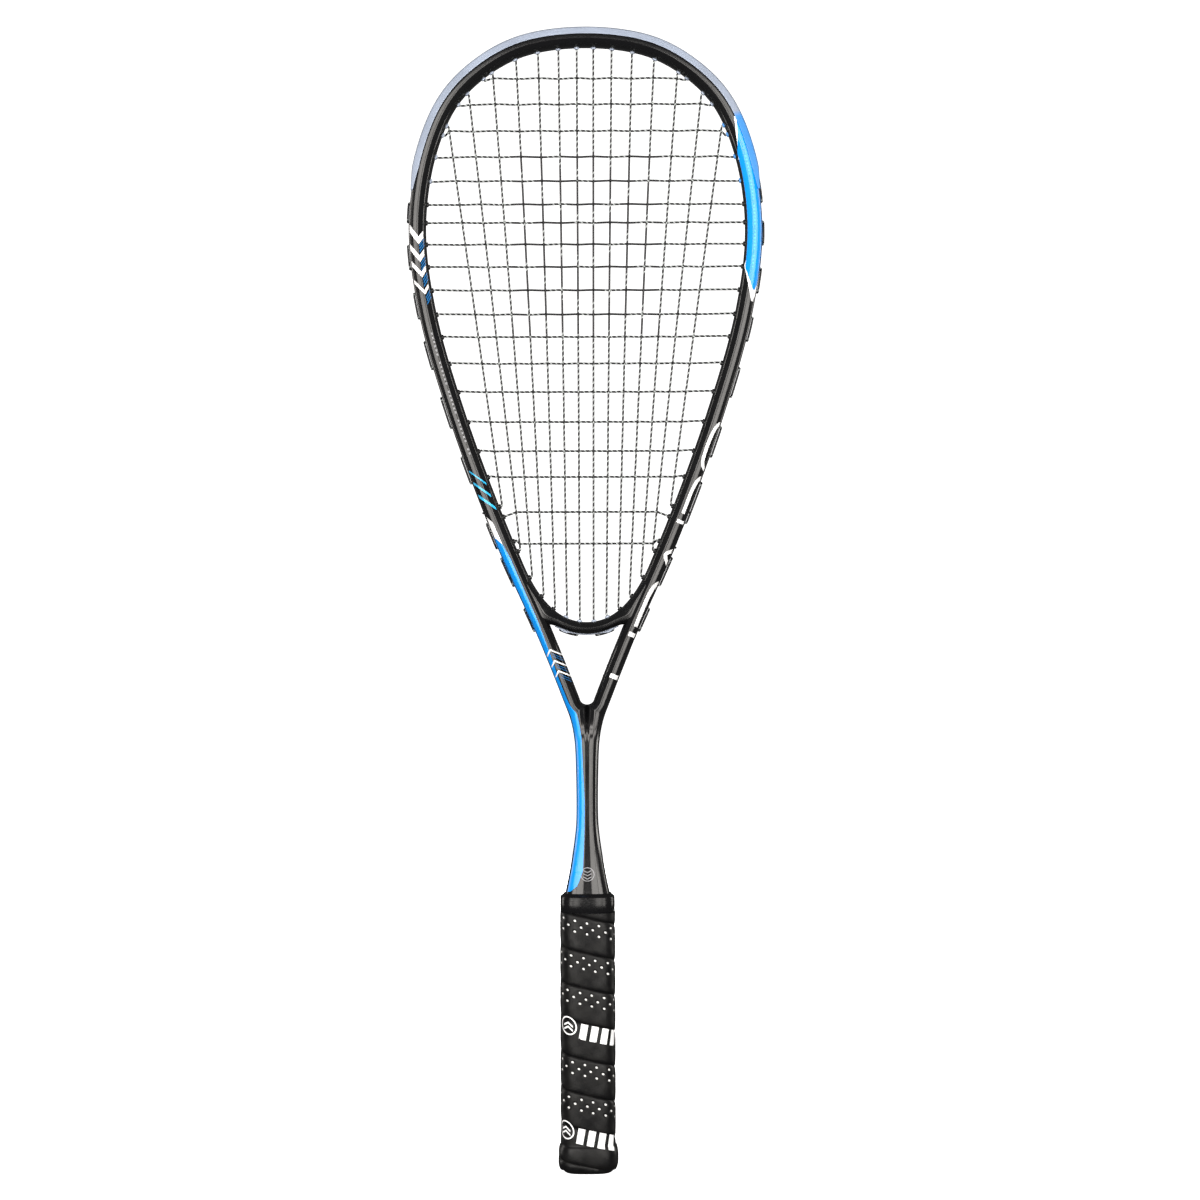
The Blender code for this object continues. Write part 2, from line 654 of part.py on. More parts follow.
def local_ring(outer, outward, profile):
    """Profile points of (height over the outer edge, y) placed at a point of the outline."""
    profile = np.asarray(profile, float)
    plan = outer + profile[:, :1] * outward
    return np.stack([plan[:, 0], profile[:, 1], plan[:, 1]], axis=1)


def strip_profile(groove):
    low, half = GAP - groove, GROOVE_WIDTH / 2 - GAP
    high = low + STRIP_THICKNESS
    return [(low, -half), (low, half), (high, half), (high, -half)]


def guard_profile(s):
    """Half of a channel that sits in the groove and laps over both edges of the hoop, and its mirror."""
    section = np.array(ARM_SECTION, float)
    width, half_depth = float(FRAME.at(s, FRAME.width)), float(FRAME.at(s, FRAME.half_depth))
    ending = float(np.clip((GUARD_STOP - s) / GUARD_TAPER, 0, 1))
    proud = 0.45 + (GUARD_PROUD - 0.45) * ending * float(np.interp(s, (60, 200), (1.0, 0.62)))
    lap = GUARD_FLANGE * (0.45 + 0.55 * ending)
    low = GAP - GROOVE_DEPTH
    lip = GROOVE_WIDTH / 2 + LIP
    face = float(np.interp(lap / width, section[2:, 0], section[2:, 1])) * half_depth
    knee = section[2, 1] * half_depth
    half = [
        (low, GROOVE_WIDTH / 2 - GAP), (GAP, lip - 0.1), (GAP - section[2, 0] * width, knee + GAP),
        (-lap, face + GAP), (-lap + 0.3, face + GAP + GUARD_SKIN), (proud * 0.62, knee + 0.9),
        (proud, lip + 0.9), (proud, CHANNEL + CHANNEL_DRAFT), (low + STRIP_THICKNESS, CHANNEL),
    ]
    return [*half, *((height, -y) for height, y in half[::-1])]


def between_holes(s):
    """The middle of the gap between the two holes on either side of this distance."""
    places = np.array(sorted(hole.at for hole in LEFT_HOLES if hole.place == "hoop"))
    k = int(np.searchsorted(places, s))
    return float(places[k - 1] + places[k]) / 2


GUARD_STOP = between_holes(FRAME.s_of_height(Z_FORK + GUARD_END * HEAD_LENGTH))
STRIP_STOP = BY_LABEL["low3"].at + 4.0


def stations_between(start, stop, *extra):
    inside = [s for s in (*frame_stations(), *extra) if start + 2 < s < stop - 2]
    return sorted([start, *inside, stop])


def add_barrels(strip, holes):
    """Grommet barrels through the holes, bored for the string."""
    barrels = [prism(*hole.span(BARREL_PROUD, 2 * GAP - hole.groove), BARREL_DIAMETER / 2, BARREL_SIDES)
               for hole in holes]
    bores = [prism(*hole.span(3.0, 3.0), BARREL_BORE / 2, BARREL_SIDES) for hole in holes]
    boolean(strip, add_mesh(strip.name + "_barrels", *join_shapes(barrels)), "UNION")
    boolean(strip, add_mesh(strip.name + "_bores", *join_shapes(bores)), "DIFFERENCE")


def both_sides(holes):
    return [*holes, *(Hole(h.label, h.inner * (-1, 1), h.outer * (-1, 1), h.at, h.place) for h in holes)]


def make_guard(finish):
    rings = [local_ring(FRAME.at(s, FRAME.outer), -FRAME.at(s, FRAME.inward), guard_profile(s))
             for s in stations_between(0.0, GUARD_STOP, GUARD_STOP - GUARD_TAPER)]
    guard = add_mesh("bumper_guard", *loft([*rings[::-1], *map(mirrored, rings[1:])]), finish)
    add_barrels(guard, both_sides([h for h in LEFT_HOLES if h.place == "hoop" and h.at < GUARD_STOP]))


def make_side_strip(name, sign, finish):
    stations = stations_between(GUARD_STOP + GAP, STRIP_STOP)
    rings = [local_ring(FRAME.at(s, FRAME.outer), -FRAME.at(s, FRAME.inward), strip_profile(GROOVE_DEPTH))
             * (sign, 1, 1) for s in stations]
    strip = add_mesh(name, *loft(rings), finish)
    holes = [h for h in LEFT_HOLES if h.place == "corner" or (h.place == "hoop" and h.at > GUARD_STOP)]
    add_barrels(strip, holes if sign > 0 else both_sides(holes)[len(holes):])


def make_throat_strip(finish):
    profile = strip_profile(STRIP_THICKNESS)
    rings = [local_ring(BRIDGE.at(t, BRIDGE.outer), BRIDGE.at(t, BRIDGE.outward), profile)
             for t in bridge_stations() if t >= STRIP_START]
    rings[-1][:, 0] = 0
    strip = add_mesh("throat_grommet_strip", *loft([*rings, *map(mirrored, rings[-2::-1])]), finish)
    add_barrels(strip, both_sides([h for h in LEFT_HOLES if h.place == "bridge"]))


# ---------------------------------------------------------------- handle

def core_ring(z, offset):
    points = round_section(CORE_WIDTH / 2 + offset, CORE_DEPTH / 2 + offset, HANDLE_SIDES, 3.0)
    return np.column_stack([points, np.full(len(points), z)])


CAP_WALL = GAP + CAP_SKIRT
# Height and offset from the foam's surface of what the tape is wrapped on
CAP_OUTSIDE = (
    (0.0, CAP_WALL - CAP_ROUND), (1.0, CAP_WALL - 0.6 * CAP_ROUND), (3.0, CAP_WALL - 0.22 * CAP_ROUND),
    (6.0, CAP_WALL), (CAP_HEIGHT - 4.0, CAP_WALL), (CAP_HEIGHT, CAP_WALL - 0.6),
)


def make_core(finish):
    bottom, top = CAP_PLATE + GAP, HANDLE_LENGTH - 2 * GAP
    core = add_mesh("handle_core", *loft([core_ring(bottom, 0.0), core_ring(top, 0.0)]), finish)
    boolean(core, add_mesh("core_bore", *frame_skin(grown_ring, extra_tail=10.0)), "DIFFERENCE")


def make_cap(finish):
    outside = [core_ring(z, offset) for z, offset in CAP_OUTSIDE]
    inside = [core_ring(CAP_HEIGHT, GAP), core_ring(CAP_PLATE, GAP)]
    add_mesh("butt_cap", *loft([*outside, *inside]), finish)


def tape_base(z):
    """Offset of the surface under the tape at each height."""
    heights, offsets = zip(*CAP_OUTSIDE, (CAP_HEIGHT + 1.0, 0.0))
    return np.interp(np.maximum(z, TAPE_START), heights, offsets)


def make_tape(finish):
    seat = GAP + TAPE_SKIVE + GAP
    surface = GAP + TAPE_THICKNESS
    lap, low = TAPE_WIDTH - TAPE_PITCH + GAP, GAP + 0.05
    profile = np.array([
        (0.0, seat), (lap, seat), (lap + GAP, low), (TAPE_WIDTH, low), (TAPE_WIDTH, GAP + TAPE_SKIVE),
        (TAPE_PITCH - GAP, GAP + TAPE_SKIVE), (TAPE_PITCH - TAPE_SEAM - 0.3, surface), (0.0, surface),
    ])
    stop = HANDLE_LENGTH - BAND_HEIGHT + BAND_LAP
    turns = (stop - TAPE_START + TAPE_WIDTH) / TAPE_PITCH
    count = int(turns * HANDLE_SIDES)
    rings = []
    for k in range(3, count):
        z = TAPE_START - 0.945 * TAPE_WIDTH + TAPE_PITCH * k / HANDLE_SIDES + profile[:, 0]
        offset = tape_base(z) * (profile[:, 1] > low) + profile[:, 1]
        reach = [round_section(CORE_WIDTH / 2 + o, CORE_DEPTH / 2 + o, HANDLE_SIDES, 3.0)[-k % HANDLE_SIDES]
                 for o in offset]
        rings.append(np.column_stack([np.array(reach), z]))
    tape = add_mesh("grip_tape", *loft(rings), finish)
    trim_flat(tape, TAPE_START, -1)
    trim_flat(tape, stop, 1)
    over_cap = CAP_HEIGHT + GAP
    under = [(z, offset + GAP) for z, offset in CAP_OUTSIDE]
    under += [(over_cap, CAP_WALL - 0.6 + GAP), (over_cap + 1.0, GAP), (HANDLE_LENGTH + 9.0, GAP)]
    boolean(tape, add_mesh("tape_bed", *loft([core_ring(z, offset) for z, offset in under])), "DIFFERENCE")


def make_band(finish):
    low, high = HANDLE_LENGTH - BAND_HEIGHT + BAND_LAP + GAP, HANDLE_LENGTH + BAND_LAP
    shoulder = HANDLE_LENGTH + 0.1
    outside = [(low, 1.7), (shoulder, 1.6), (high, 0.1)]
    band = add_mesh("finishing_band", *loft([core_ring(z, offset) for z, offset in outside]), finish)
    bed = [core_ring(low - 5.0, GAP), core_ring(HANDLE_LENGTH - GAP, GAP)]
    boolean(band, add_mesh("band_bed", *loft(bed)), "DIFFERENCE")
    boolean(band, add_mesh("band_bore", *frame_skin(grown_ring)), "DIFFERENCE")


def main():
    clear_scene()
    carbon = material("satin_black_lacquer", (0.012, 0.012, 0.014), 0.3)
    smoke = material("smoke_nylon", (0.42, 0.48, 0.58), 0.35)
    black_nylon = material("black_nylon", (0.02, 0.02, 0.022), 0.5)
    nylon = material("string_nylon", (0.7, 0.7, 0.7), 0.4)
    foam = material("black_foam", (0.03, 0.03, 0.03), 0.8)
    rubber = material("grip_rubber", (0.015, 0.015, 0.016), 0.65)
    vinyl = material("band_vinyl", (0.02, 0.02, 0.02), 0.2)
    make_frame(carbon)
    make_bridge(carbon)
    make_guard(smoke)
    make_side_strip("side_grommet_strip_left", 1, black_nylon)
    make_side_strip("side_grommet_strip_right", -1, black_nylon)
    make_throat_strip(smoke)
    make_string("main_string", main_string_path(), nylon)
    make_string("cross_string", cross_string_path(), nylon)
    make_core(foam)
    make_cap(black_nylon)
    make_tape(rubber)
    make_band(vinyl)


main()
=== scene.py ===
"""Looks of a squash racket: lacquered carbon frame, nylon guard and grommets, woven strings, wrapped grip.

All sizes are in millimetres in the racket's own frame: +Z runs up the handle to the head, X is across the strings
and -Y is the front. MM turns them into Blender's metres where a mesh is made.
"""

from __future__ import annotations

import logging
import math
import sys
from dataclasses import dataclass, field
from enum import Enum
from typing import Iterable, Sequence

import bmesh
import bpy
import numpy as np
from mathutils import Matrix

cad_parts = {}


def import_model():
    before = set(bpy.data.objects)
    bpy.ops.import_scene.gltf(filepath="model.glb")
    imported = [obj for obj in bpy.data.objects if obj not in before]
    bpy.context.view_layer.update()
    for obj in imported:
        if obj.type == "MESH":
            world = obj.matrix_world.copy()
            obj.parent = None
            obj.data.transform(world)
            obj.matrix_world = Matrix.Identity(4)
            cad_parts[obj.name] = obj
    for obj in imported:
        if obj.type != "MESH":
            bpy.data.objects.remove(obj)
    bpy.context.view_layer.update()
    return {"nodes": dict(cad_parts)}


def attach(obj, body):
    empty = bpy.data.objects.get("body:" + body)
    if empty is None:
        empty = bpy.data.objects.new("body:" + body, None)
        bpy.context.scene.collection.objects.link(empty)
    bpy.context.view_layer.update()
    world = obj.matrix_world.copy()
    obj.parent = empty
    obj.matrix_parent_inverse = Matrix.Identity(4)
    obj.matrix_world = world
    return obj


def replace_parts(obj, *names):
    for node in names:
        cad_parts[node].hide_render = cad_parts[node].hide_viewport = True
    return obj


MM = 0.001
LOG = logging.getLogger("racket")
Array = np.ndarray


# ---------------------------------------------------------------- small mathematics

def unit(vectors: Array) -> Array:
    """Vectors divided by their lengths."""
    vectors = np.asarray(vectors, float)
    return vectors / np.maximum(np.linalg.norm(vectors, axis=-1, keepdims=True), 1e-12)


def smooth_curve(points: Sequence, per_span: int = 30) -> Array:
    """A centripetal Catmull-Rom curve through the points, its ends drawn on in a straight line.

    Each span is two rounds of straight blends between neighbouring points, with the parameter spaced by the
    square root of the distance between them.

    Args:
        points: guide points in two or three dimensions.
        per_span: samples between one guide point and the next.

    Returns:
        The sampled curve, ending on the last guide point.
    """
    points = np.asarray(points, float)
    points = np.vstack([2 * points[0] - points[1], points, 2 * points[-1] - points[-2]])
    found = []
    for p0, p1, p2, p3 in zip(points, points[1:], points[2:], points[3:]):
        t1 = np.sqrt(np.linalg.norm(p1 - p0))
        t2 = t1 + np.sqrt(np.linalg.norm(p2 - p1))
        t3 = t2 + np.sqrt(np.linalg.norm(p3 - p2))
        t = np.linspace(t1, t2, per_span, endpoint=False)[:, None]
        a1 = p0 * (t1 - t) / t1 + p1 * t / t1
        a2 = p1 * (t2 - t) / (t2 - t1) + p2 * (t - t1) / (t2 - t1)
        a3 = p2 * (t3 - t) / (t3 - t2) + p3 * (t - t2) / (t3 - t2)
        b1 = a1 * (t2 - t) / t2 + a2 * t / t2
        b2 = a2 * (t3 - t) / (t3 - t1) + a3 * (t - t1) / (t3 - t1)
        found.append(b1 * (t2 - t) / (t2 - t1) + b2 * (t - t1) / (t2 - t1))
    return np.vstack([*found, points[-2]])


def soften(points: Array, rounds: int = 2, cut: float = 0.16, closed: bool = False) -> Array:
    """Cuts the corners of a polyline, which leaves its flats and rounds its edges.

    Each round replaces a side by the two points that lie the cut's share in from its ends.

    Args:
        points: (..., count, dimensions) polylines.
        rounds: how often the corners are cut.
        cut: share of each side that goes at each end.
        closed: True for rings. Otherwise both end points stay.

    Returns:
        Polylines of about twice as many points for each round.
    """
    for _ in range(rounds):
        after = np.roll(points, -1, axis=-2) if closed else points[..., 1:, :]
        before = points if closed else points[..., :-1, :]
        pair = np.stack([before * (1 - cut) + after * cut, before * cut + after * (1 - cut)], axis=-2)
        inside = pair.reshape(*pair.shape[:-3], -1, pair.shape[-1])
        if not closed:
            inside = np.concatenate([points[..., :1, :], inside[..., 1:-1, :], points[..., -1:, :]], axis=-2)
        points, cut = inside, min(0.25, cut * 1.4)
    return points


def sample(at: Array | float, positions: Array, values: Array) -> Array:
    """Sampled values looked up at new positions, column by column."""
    columns = np.atleast_2d(values.T)
    found = np.stack([np.interp(np.atleast_1d(at), positions, column) for column in columns], axis=-1)
    return found[..., 0] if values.ndim == 1 else found


def spread(start: float, stop: float, step: float) -> Array:
    """Evenly spaced values from start to stop, no more than the step apart."""
    return np.linspace(start, stop, max(2, int(math.ceil(abs(stop - start) / step)) + 1))


# ---------------------------------------------------------------- meshes

class Slot(Enum):
    """The record's material slots."""

    CARBON = "lacquered_carbon"
    SMOKE = "smoke_nylon"
    NYLON = "black_nylon"
    STRING = "string_nylon"
    FOAM = "black_foam"
    RUBBER = "grip_rubber"
    VINYL = "band_vinyl"


@dataclass
class Sheet:
    """A grid of points, with a pattern coordinate for each and closed ends where they are wanted."""

    points: Array
    pattern: Array | None = None
    cap_ends: bool = False

    def quads(self) -> Array:
        """The grid's faces as rows of four indices."""
        rows, columns = self.points.shape[:2]
        index = np.arange(rows * columns).reshape(rows, columns)
        corners = index[:-1, :-1], index[:-1, 1:], index[1:, 1:], index[1:, :-1]
        return np.stack(corners, axis=-1).reshape(-1, 4)

    def caps(self) -> list[list[int]]:
        """Faces across the first and the last row."""
        rows, columns = self.points.shape[:2]
        return [list(range(columns - 1)), list(range((rows - 1) * columns, rows * columns - 1))]


def build_piece(name: str, sheets: Iterable[Sheet], finish: "Finish", sharp: float = 180.0,
                trim: tuple[float, float] | None = None) -> bpy.types.Object:
    """Makes one object of these sheets, riding on the racket.

    Args:
        name: the piece's name.
        sheets: its surfaces, in millimetres.
        finish: its finish.
        sharp: angle in degrees over which an edge stays hard.
        trim: heights below and above which it is cut off flat.

    Returns:
        The new object.
    """
    points, patterns, faces, start = [], [], [], 0
    for sheet in sheets:
        count = sheet.points.shape[0] * sheet.points.shape[1]
        points.append(sheet.points.reshape(count, 3))
        patterns.append(np.zeros((count, 2)) if sheet.pattern is None else sheet.pattern.reshape(count, 2))
        faces += (sheet.quads() + start).tolist()
        if sheet.cap_ends:
            faces += [[start + i for i in cap] for cap in sheet.caps()]
        start += count
    mesh = bpy.data.meshes.new(name)
    mesh.from_pydata((np.vstack(points) * MM).tolist(), [], faces)
    corner = np.empty(len(mesh.loops), np.int32)
    mesh.loops.foreach_get("vertex_index", corner)
    layer = mesh.uv_layers.new(name="pattern")
    layer.data.foreach_set("uv", np.vstack(patterns)[corner].astype(np.float32).ravel())
    shape = bmesh.new()
    shape.from_mesh(mesh)
    bmesh.ops.remove_doubles(shape, verts=shape.verts, dist=2e-6)
    bmesh.ops.dissolve_degenerate(shape, edges=shape.edges, dist=1e-6)
    for height, side in zip(trim or (), (-1, 1)):
        bmesh.ops.bisect_plane(shape, geom=[*shape.verts, *shape.edges, *shape.faces],
                               plane_co=(0, 0, height * MM), plane_no=(0, 0, side), clear_outer=True)
        bmesh.ops.holes_fill(shape, edges=[edge for edge in shape.edges if edge.is_boundary], sides=0)
    bmesh.ops.recalc_face_normals(shape, faces=shape.faces)
    shape.to_mesh(mesh)
    shape.free()
    mesh.shade_smooth()
    if sharp < 180:
        mesh.set_sharp_from_angle(angle=math.radians(sharp))
    mesh.materials.append(finish.material())
    piece = bpy.data.objects.new(name, mesh)
    bpy.context.scene.collection.objects.link(piece)
    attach(piece, "root")
    LOG.info("%s: %d faces", name, len(mesh.polygons))
    return piece


def turned_round(points: Array) -> Array:
    """The same points on the racket's other side, half a turn about its long axis."""
    return points * (-1, -1, 1)


def mirrored(points: Array) -> Array:
    """The same points on the racket's right half."""
    return points * (-1, 1, 1)


# ---------------------------------------------------------------- materials

class NodeSheet:
    """A material's node tree with short ways to add to it."""

    def __init__(self, name: str, material: bpy.types.Material | None = None) -> None:
        """Starts a material with a Principled shader, or opens one that is there."""
        self.material = material or bpy.data.materials.new(name)
        self.material.use_nodes = True
        self.tree = self.material.node_tree
        self.shader = self.tree.nodes["Principled BSDF"]

    def node(self, kind: str, **settings: object) -> bpy.types.Node:
        """Adds a node and sets its properties."""
        made = self.tree.nodes.new(kind)
        for key, value in settings.items():
            setattr(made, key, value)
        return made

    def put(self, socket: bpy.types.NodeSocket, value: object) -> None:
        """Links a socket, or sets its value."""
        if isinstance(value, bpy.types.NodeSocket):
            self.tree.links.new(value, socket)
        else:
            socket.default_value = value

    def surface(self, **values: object) -> None:
        """Sets the shader's inputs by name, with _ for a blank."""
        for key, value in values.items():
            self.put(self.shader.inputs[key.replace("_", " ")], value)

    def math(self, operation: str, *values: object) -> bpy.types.NodeSocket:
        """One Math node."""
        made = self.node("ShaderNodeMath", operation=operation)
        for socket, value in zip(made.inputs, values):
            self.put(socket, value)
        return made.outputs[0]

    def split(self, vector: bpy.types.NodeSocket) -> list[bpy.types.NodeSocket]:
        """The three parts of a vector."""
        made = self.node("ShaderNodeSeparateXYZ")
        self.put(made.inputs[0], vector)
        return list(made.outputs)

    def place(self) -> bpy.types.NodeSocket:
        """Object coordinates in metres."""
        return self.node("ShaderNodeTexCoord").outputs["Object"]

    def pattern(self) -> bpy.types.NodeSocket:
        """The piece's own pattern coordinates, in millimetres."""
        return self.node("ShaderNodeUVMap", uv_map="pattern").outputs["UV"]

    def noise(self, vector: bpy.types.NodeSocket, scale: float, detail: float = 3.0) -> bpy.types.NodeSocket:
        """Noise from 0 to 1."""
        made = self.node("ShaderNodeTexNoise")
        self.put(made.inputs["Vector"], vector)
        made.inputs["Scale"].default_value = scale
        made.inputs["Detail"].default_value = detail
        return made.outputs["Fac"]

    def between(self, value: object, low: float, high: float, to_low: float = 0.0,
                to_high: float = 1.0) -> bpy.types.NodeSocket:
        """A value mapped from one range to another, and held inside it."""
        made = self.node("ShaderNodeMapRange", clamp=True)
        for socket, given in zip(made.inputs, (value, low, high, to_low, to_high)):
            self.put(socket, given)
        return made.outputs[0]

    def mix(self, share: object, first: object, second: object) -> bpy.types.NodeSocket:
        """Two colours mixed."""
        made = self.node("ShaderNodeMix", data_type="RGBA")
        for socket, value in zip((made.inputs[0], made.inputs[6], made.inputs[7]), (share, first, second)):
            self.put(socket, (*value, 1.0) if isinstance(value, tuple) else value)
        return made.outputs[2]

    def bump(self, height: bpy.types.NodeSocket, distance: float, strength: float = 1.0) -> None:
        """Raises the surface by a height from 0 to 1, times a distance in millimetres."""
        made = self.node("ShaderNodeBump")
        made.inputs["Strength"].default_value = strength
        made.inputs["Distance"].default_value = distance * MM
        self.put(made.inputs["Height"], height)
        self.put(self.shader.inputs["Normal"], made.outputs["Normal"])


@dataclass(frozen=True)
class LacquerFinish:
    """Paint under a thin clear coat, with a faint orange peel."""

    name: str
    colour: tuple[float, float, float]
    roughness: float = 0.3
    coat: float = 0.35
    fleck: float = 0.0

    def make(self) -> bpy.types.Material:
        """The material: a colour with fine flecks, and roughness and relief from slow noise."""
        sheet = NodeSheet(self.name)
        place = sheet.place()
        fleck = sheet.between(sheet.noise(place, 2600.0, 1.0), 0.6, 0.75)
        lighter = tuple(min(1.0, channel + self.fleck) for channel in self.colour)
        sheet.surface(
            Base_Color=sheet.mix(fleck, self.colour, lighter),
            Roughness=sheet.between(sheet.noise(place, 55.0, 4.0), 0.3, 0.7, self.roughness - 0.05,
                                    self.roughness + 0.05),
            Coat_Weight=self.coat, Coat_Roughness=0.12)
        sheet.bump(sheet.noise(place, 300.0, 2.0), 0.01, 0.12)
        return sheet.material


@dataclass(frozen=True)
class NylonFinish:
    """Moulded nylon. A milky one lets what lies under it show a little."""

    name: str
    colour: tuple[float, float, float]
    roughness: float = 0.42
    opacity: float = 1.0
    specular: float = 0.5

    def make(self) -> bpy.types.Material:
        """The material: a cloudy colour and a fine spark-eroded texture."""
        sheet = NodeSheet(self.name)
        place = sheet.place()
        darker = tuple(channel * 0.86 for channel in self.colour)
        sheet.surface(
            Base_Color=sheet.mix(sheet.between(sheet.noise(place, 40.0, 4.0), 0.35, 0.65), darker, self.colour),
            Roughness=sheet.between(sheet.noise(place, 700.0, 2.0), 0.3, 0.7, self.roughness - 0.06,
                                    self.roughness + 0.06),
            Alpha=self.opacity, Specular_IOR_Level=self.specular)
        sheet.bump(sheet.noise(place, 1500.0, 2.0), 0.02, 0.3)
        return sheet.material


@dataclass(frozen=True)
class GuardFinish(NylonFinish):
    """Milky nylon that takes on the blue of the panel under it."""

    tint: tuple[float, float, float] = (0.01, 0.28, 0.78)
    tint_top: float = 630.0
    share: float = 0.8

    def make(self) -> bpy.types.Material:
        """The material: nylon, blue on the hoop's front right and back left below the panel's top."""
        material = super().make()
        sheet = NodeSheet(self.name, material)
        x, y, z = sheet.split(sheet.place())
        level = sheet.math("ADD", z, sheet.math("MULTIPLY", sheet.math("ABSOLUTE", x), -0.35))
        below = sheet.between(level, (self.tint_top - 26.5) * MM, (self.tint_top - 30.5) * MM)
        side = sheet.math("LESS_THAN", sheet.math("MULTIPLY", x, y), 0.0)
        hoop = sheet.math("GREATER_THAN", z, 0.4)
        blue = sheet.math("MULTIPLY", sheet.math("MULTIPLY", below, side), sheet.math("MULTIPLY", hoop, self.share))
        plain = sheet.shader.inputs["Base Color"].links[0].from_socket
        sheet.surface(Base_Color=sheet.mix(blue, plain, self.tint))
        return material


@dataclass(frozen=True)
class StringFinish:
    """Black and white twisted string, with stacked chevrons of black ink in the middle of the bed."""

    name: str
    light: tuple[float, float, float] = (0.3, 0.32, 0.31)
    dark: tuple[float, float, float] = (0.004, 0.004, 0.005)
    lay: float = 3.4
    ink_low: float = 502.0
    ink_high: float = 610.0
    ink_half_width: float = 44.0
    ink_period: float = 26.0
    ink_share: float = 0.7

    def make(self) -> bpy.types.Material:
        """The material: a two-colour helix from the pattern coordinates, and ink from the place on the bed."""
        sheet = NodeSheet(self.name)
        around, along, _ = sheet.split(sheet.pattern())
        turn = sheet.math("FRACT", sheet.math("ADD", sheet.math("DIVIDE", along, self.lay), around))
        twist = sheet.math("ABSOLUTE", sheet.math("SUBTRACT", turn, 0.5))
        stripe = sheet.between(twist, 0.14, 0.17)
        x, _, z = sheet.split(sheet.place())
        across = sheet.math("MULTIPLY", sheet.math("ABSOLUTE", x), 1 / MM)
        height = sheet.math("MULTIPLY", z, 1 / MM)
        raised = sheet.math("SUBTRACT", height, sheet.math("MULTIPLY", across, 0.75))
        bar = sheet.math("LESS_THAN", sheet.math("FRACT", sheet.math("DIVIDE", raised, self.ink_period)),
                         self.ink_share)
        inside = sheet.math("MULTIPLY", sheet.math("LESS_THAN", across, self.ink_half_width),
                            sheet.math("MULTIPLY", sheet.math("GREATER_THAN", height, self.ink_low),
                                       sheet.math("LESS_THAN", height, self.ink_high)))
        ink = sheet.math("MULTIPLY", bar, inside)
        yarn = sheet.mix(stripe, self.light, self.dark)
        sheet.surface(Base_Color=sheet.mix(ink, yarn, (0.004, 0.004, 0.005)), Roughness=0.38)
        sheet.bump(sheet.math("SINE", sheet.math("MULTIPLY", turn, 2 * math.pi)), 0.06, 0.6)
        return sheet.material


@dataclass(frozen=True)
class GripFinish:
    """Soft black tape with a leathery grain and rows of small punched holes along its middle, a highlight painted in
    each hole.
    """

    name: str
    colour: tuple[float, float, float] = (0.0035, 0.0035, 0.0038)
    column: float = 6.4
    row: float = 3.2
    rows: int = 3
    first_row: float = 9.8
    hole: float = 0.9

    def make(self) -> bpy.types.Material:
        """The material: holes on a staggered lattice in pattern coordinates, each a sunk rim round a pale spot painted
        in its middle as the highlight that the hole's edge catches, and grain from noise.
        """
        sheet = NodeSheet(self.name)
        along, across, _ = sheet.split(sheet.pattern())
        place = sheet.place()
        band = sheet.math("DIVIDE", sheet.math("SUBTRACT", across, self.first_row), self.row)
        row = sheet.math("FLOOR", band)
        stagger = sheet.math("MULTIPLY", sheet.math("MODULO", row, 2.0), 0.5)
        column = sheet.math("FRACT", sheet.math("ADD", sheet.math("DIVIDE", along, self.column), stagger))
        du = sheet.math("MULTIPLY", sheet.math("SUBTRACT", column, 0.5), self.column)
        dv = sheet.math("MULTIPLY", sheet.math("SUBTRACT", sheet.math("FRACT", band), 0.5), self.row)
        distance = sheet.math("SQRT", sheet.math("ADD", sheet.math("MULTIPLY", du, du),
                                                 sheet.math("MULTIPLY", dv, dv)))
        inside = sheet.math("MULTIPLY", sheet.math("GREATER_THAN", band, 0.0),
                            sheet.math("LESS_THAN", band, float(self.rows)))
        inside = sheet.math("MULTIPLY", inside, sheet.math("LESS_THAN", along, 1e5))
        lip = sheet.math("MULTIPLY", sheet.between(distance, self.hole * 1.5, self.hole * 0.9), inside)
        # Painted highlight: a pale spot in the middle of each hole, standing for the light caught on the hole's edge.
        painted_hole_highlight = sheet.math("MULTIPLY", sheet.between(distance, self.hole * 0.8, self.hole * 0.5), inside)
        grain = sheet.noise(place, 1100.0, 5.0)
        crease = sheet.noise(place, 160.0, 4.0)
        sheet.surface(
            Base_Color=sheet.mix(painted_hole_highlight, sheet.mix(sheet.between(crease, 0.4, 0.75), self.colour,
                                                 (0.006, 0.0058, 0.0055)), (0.72, 0.72, 0.7)),
            Roughness=sheet.between(crease, 0.3, 0.7, 0.3, 0.5), Specular_IOR_Level=0.26)
        height = sheet.math("ADD", sheet.math("MULTIPLY", grain, 0.35), sheet.math("MULTIPLY", crease, 0.5))
        sheet.bump(sheet.math("SUBTRACT", height, sheet.math("MULTIPLY", lip, 1.2)), 0.35, 0.55)
        return sheet.material


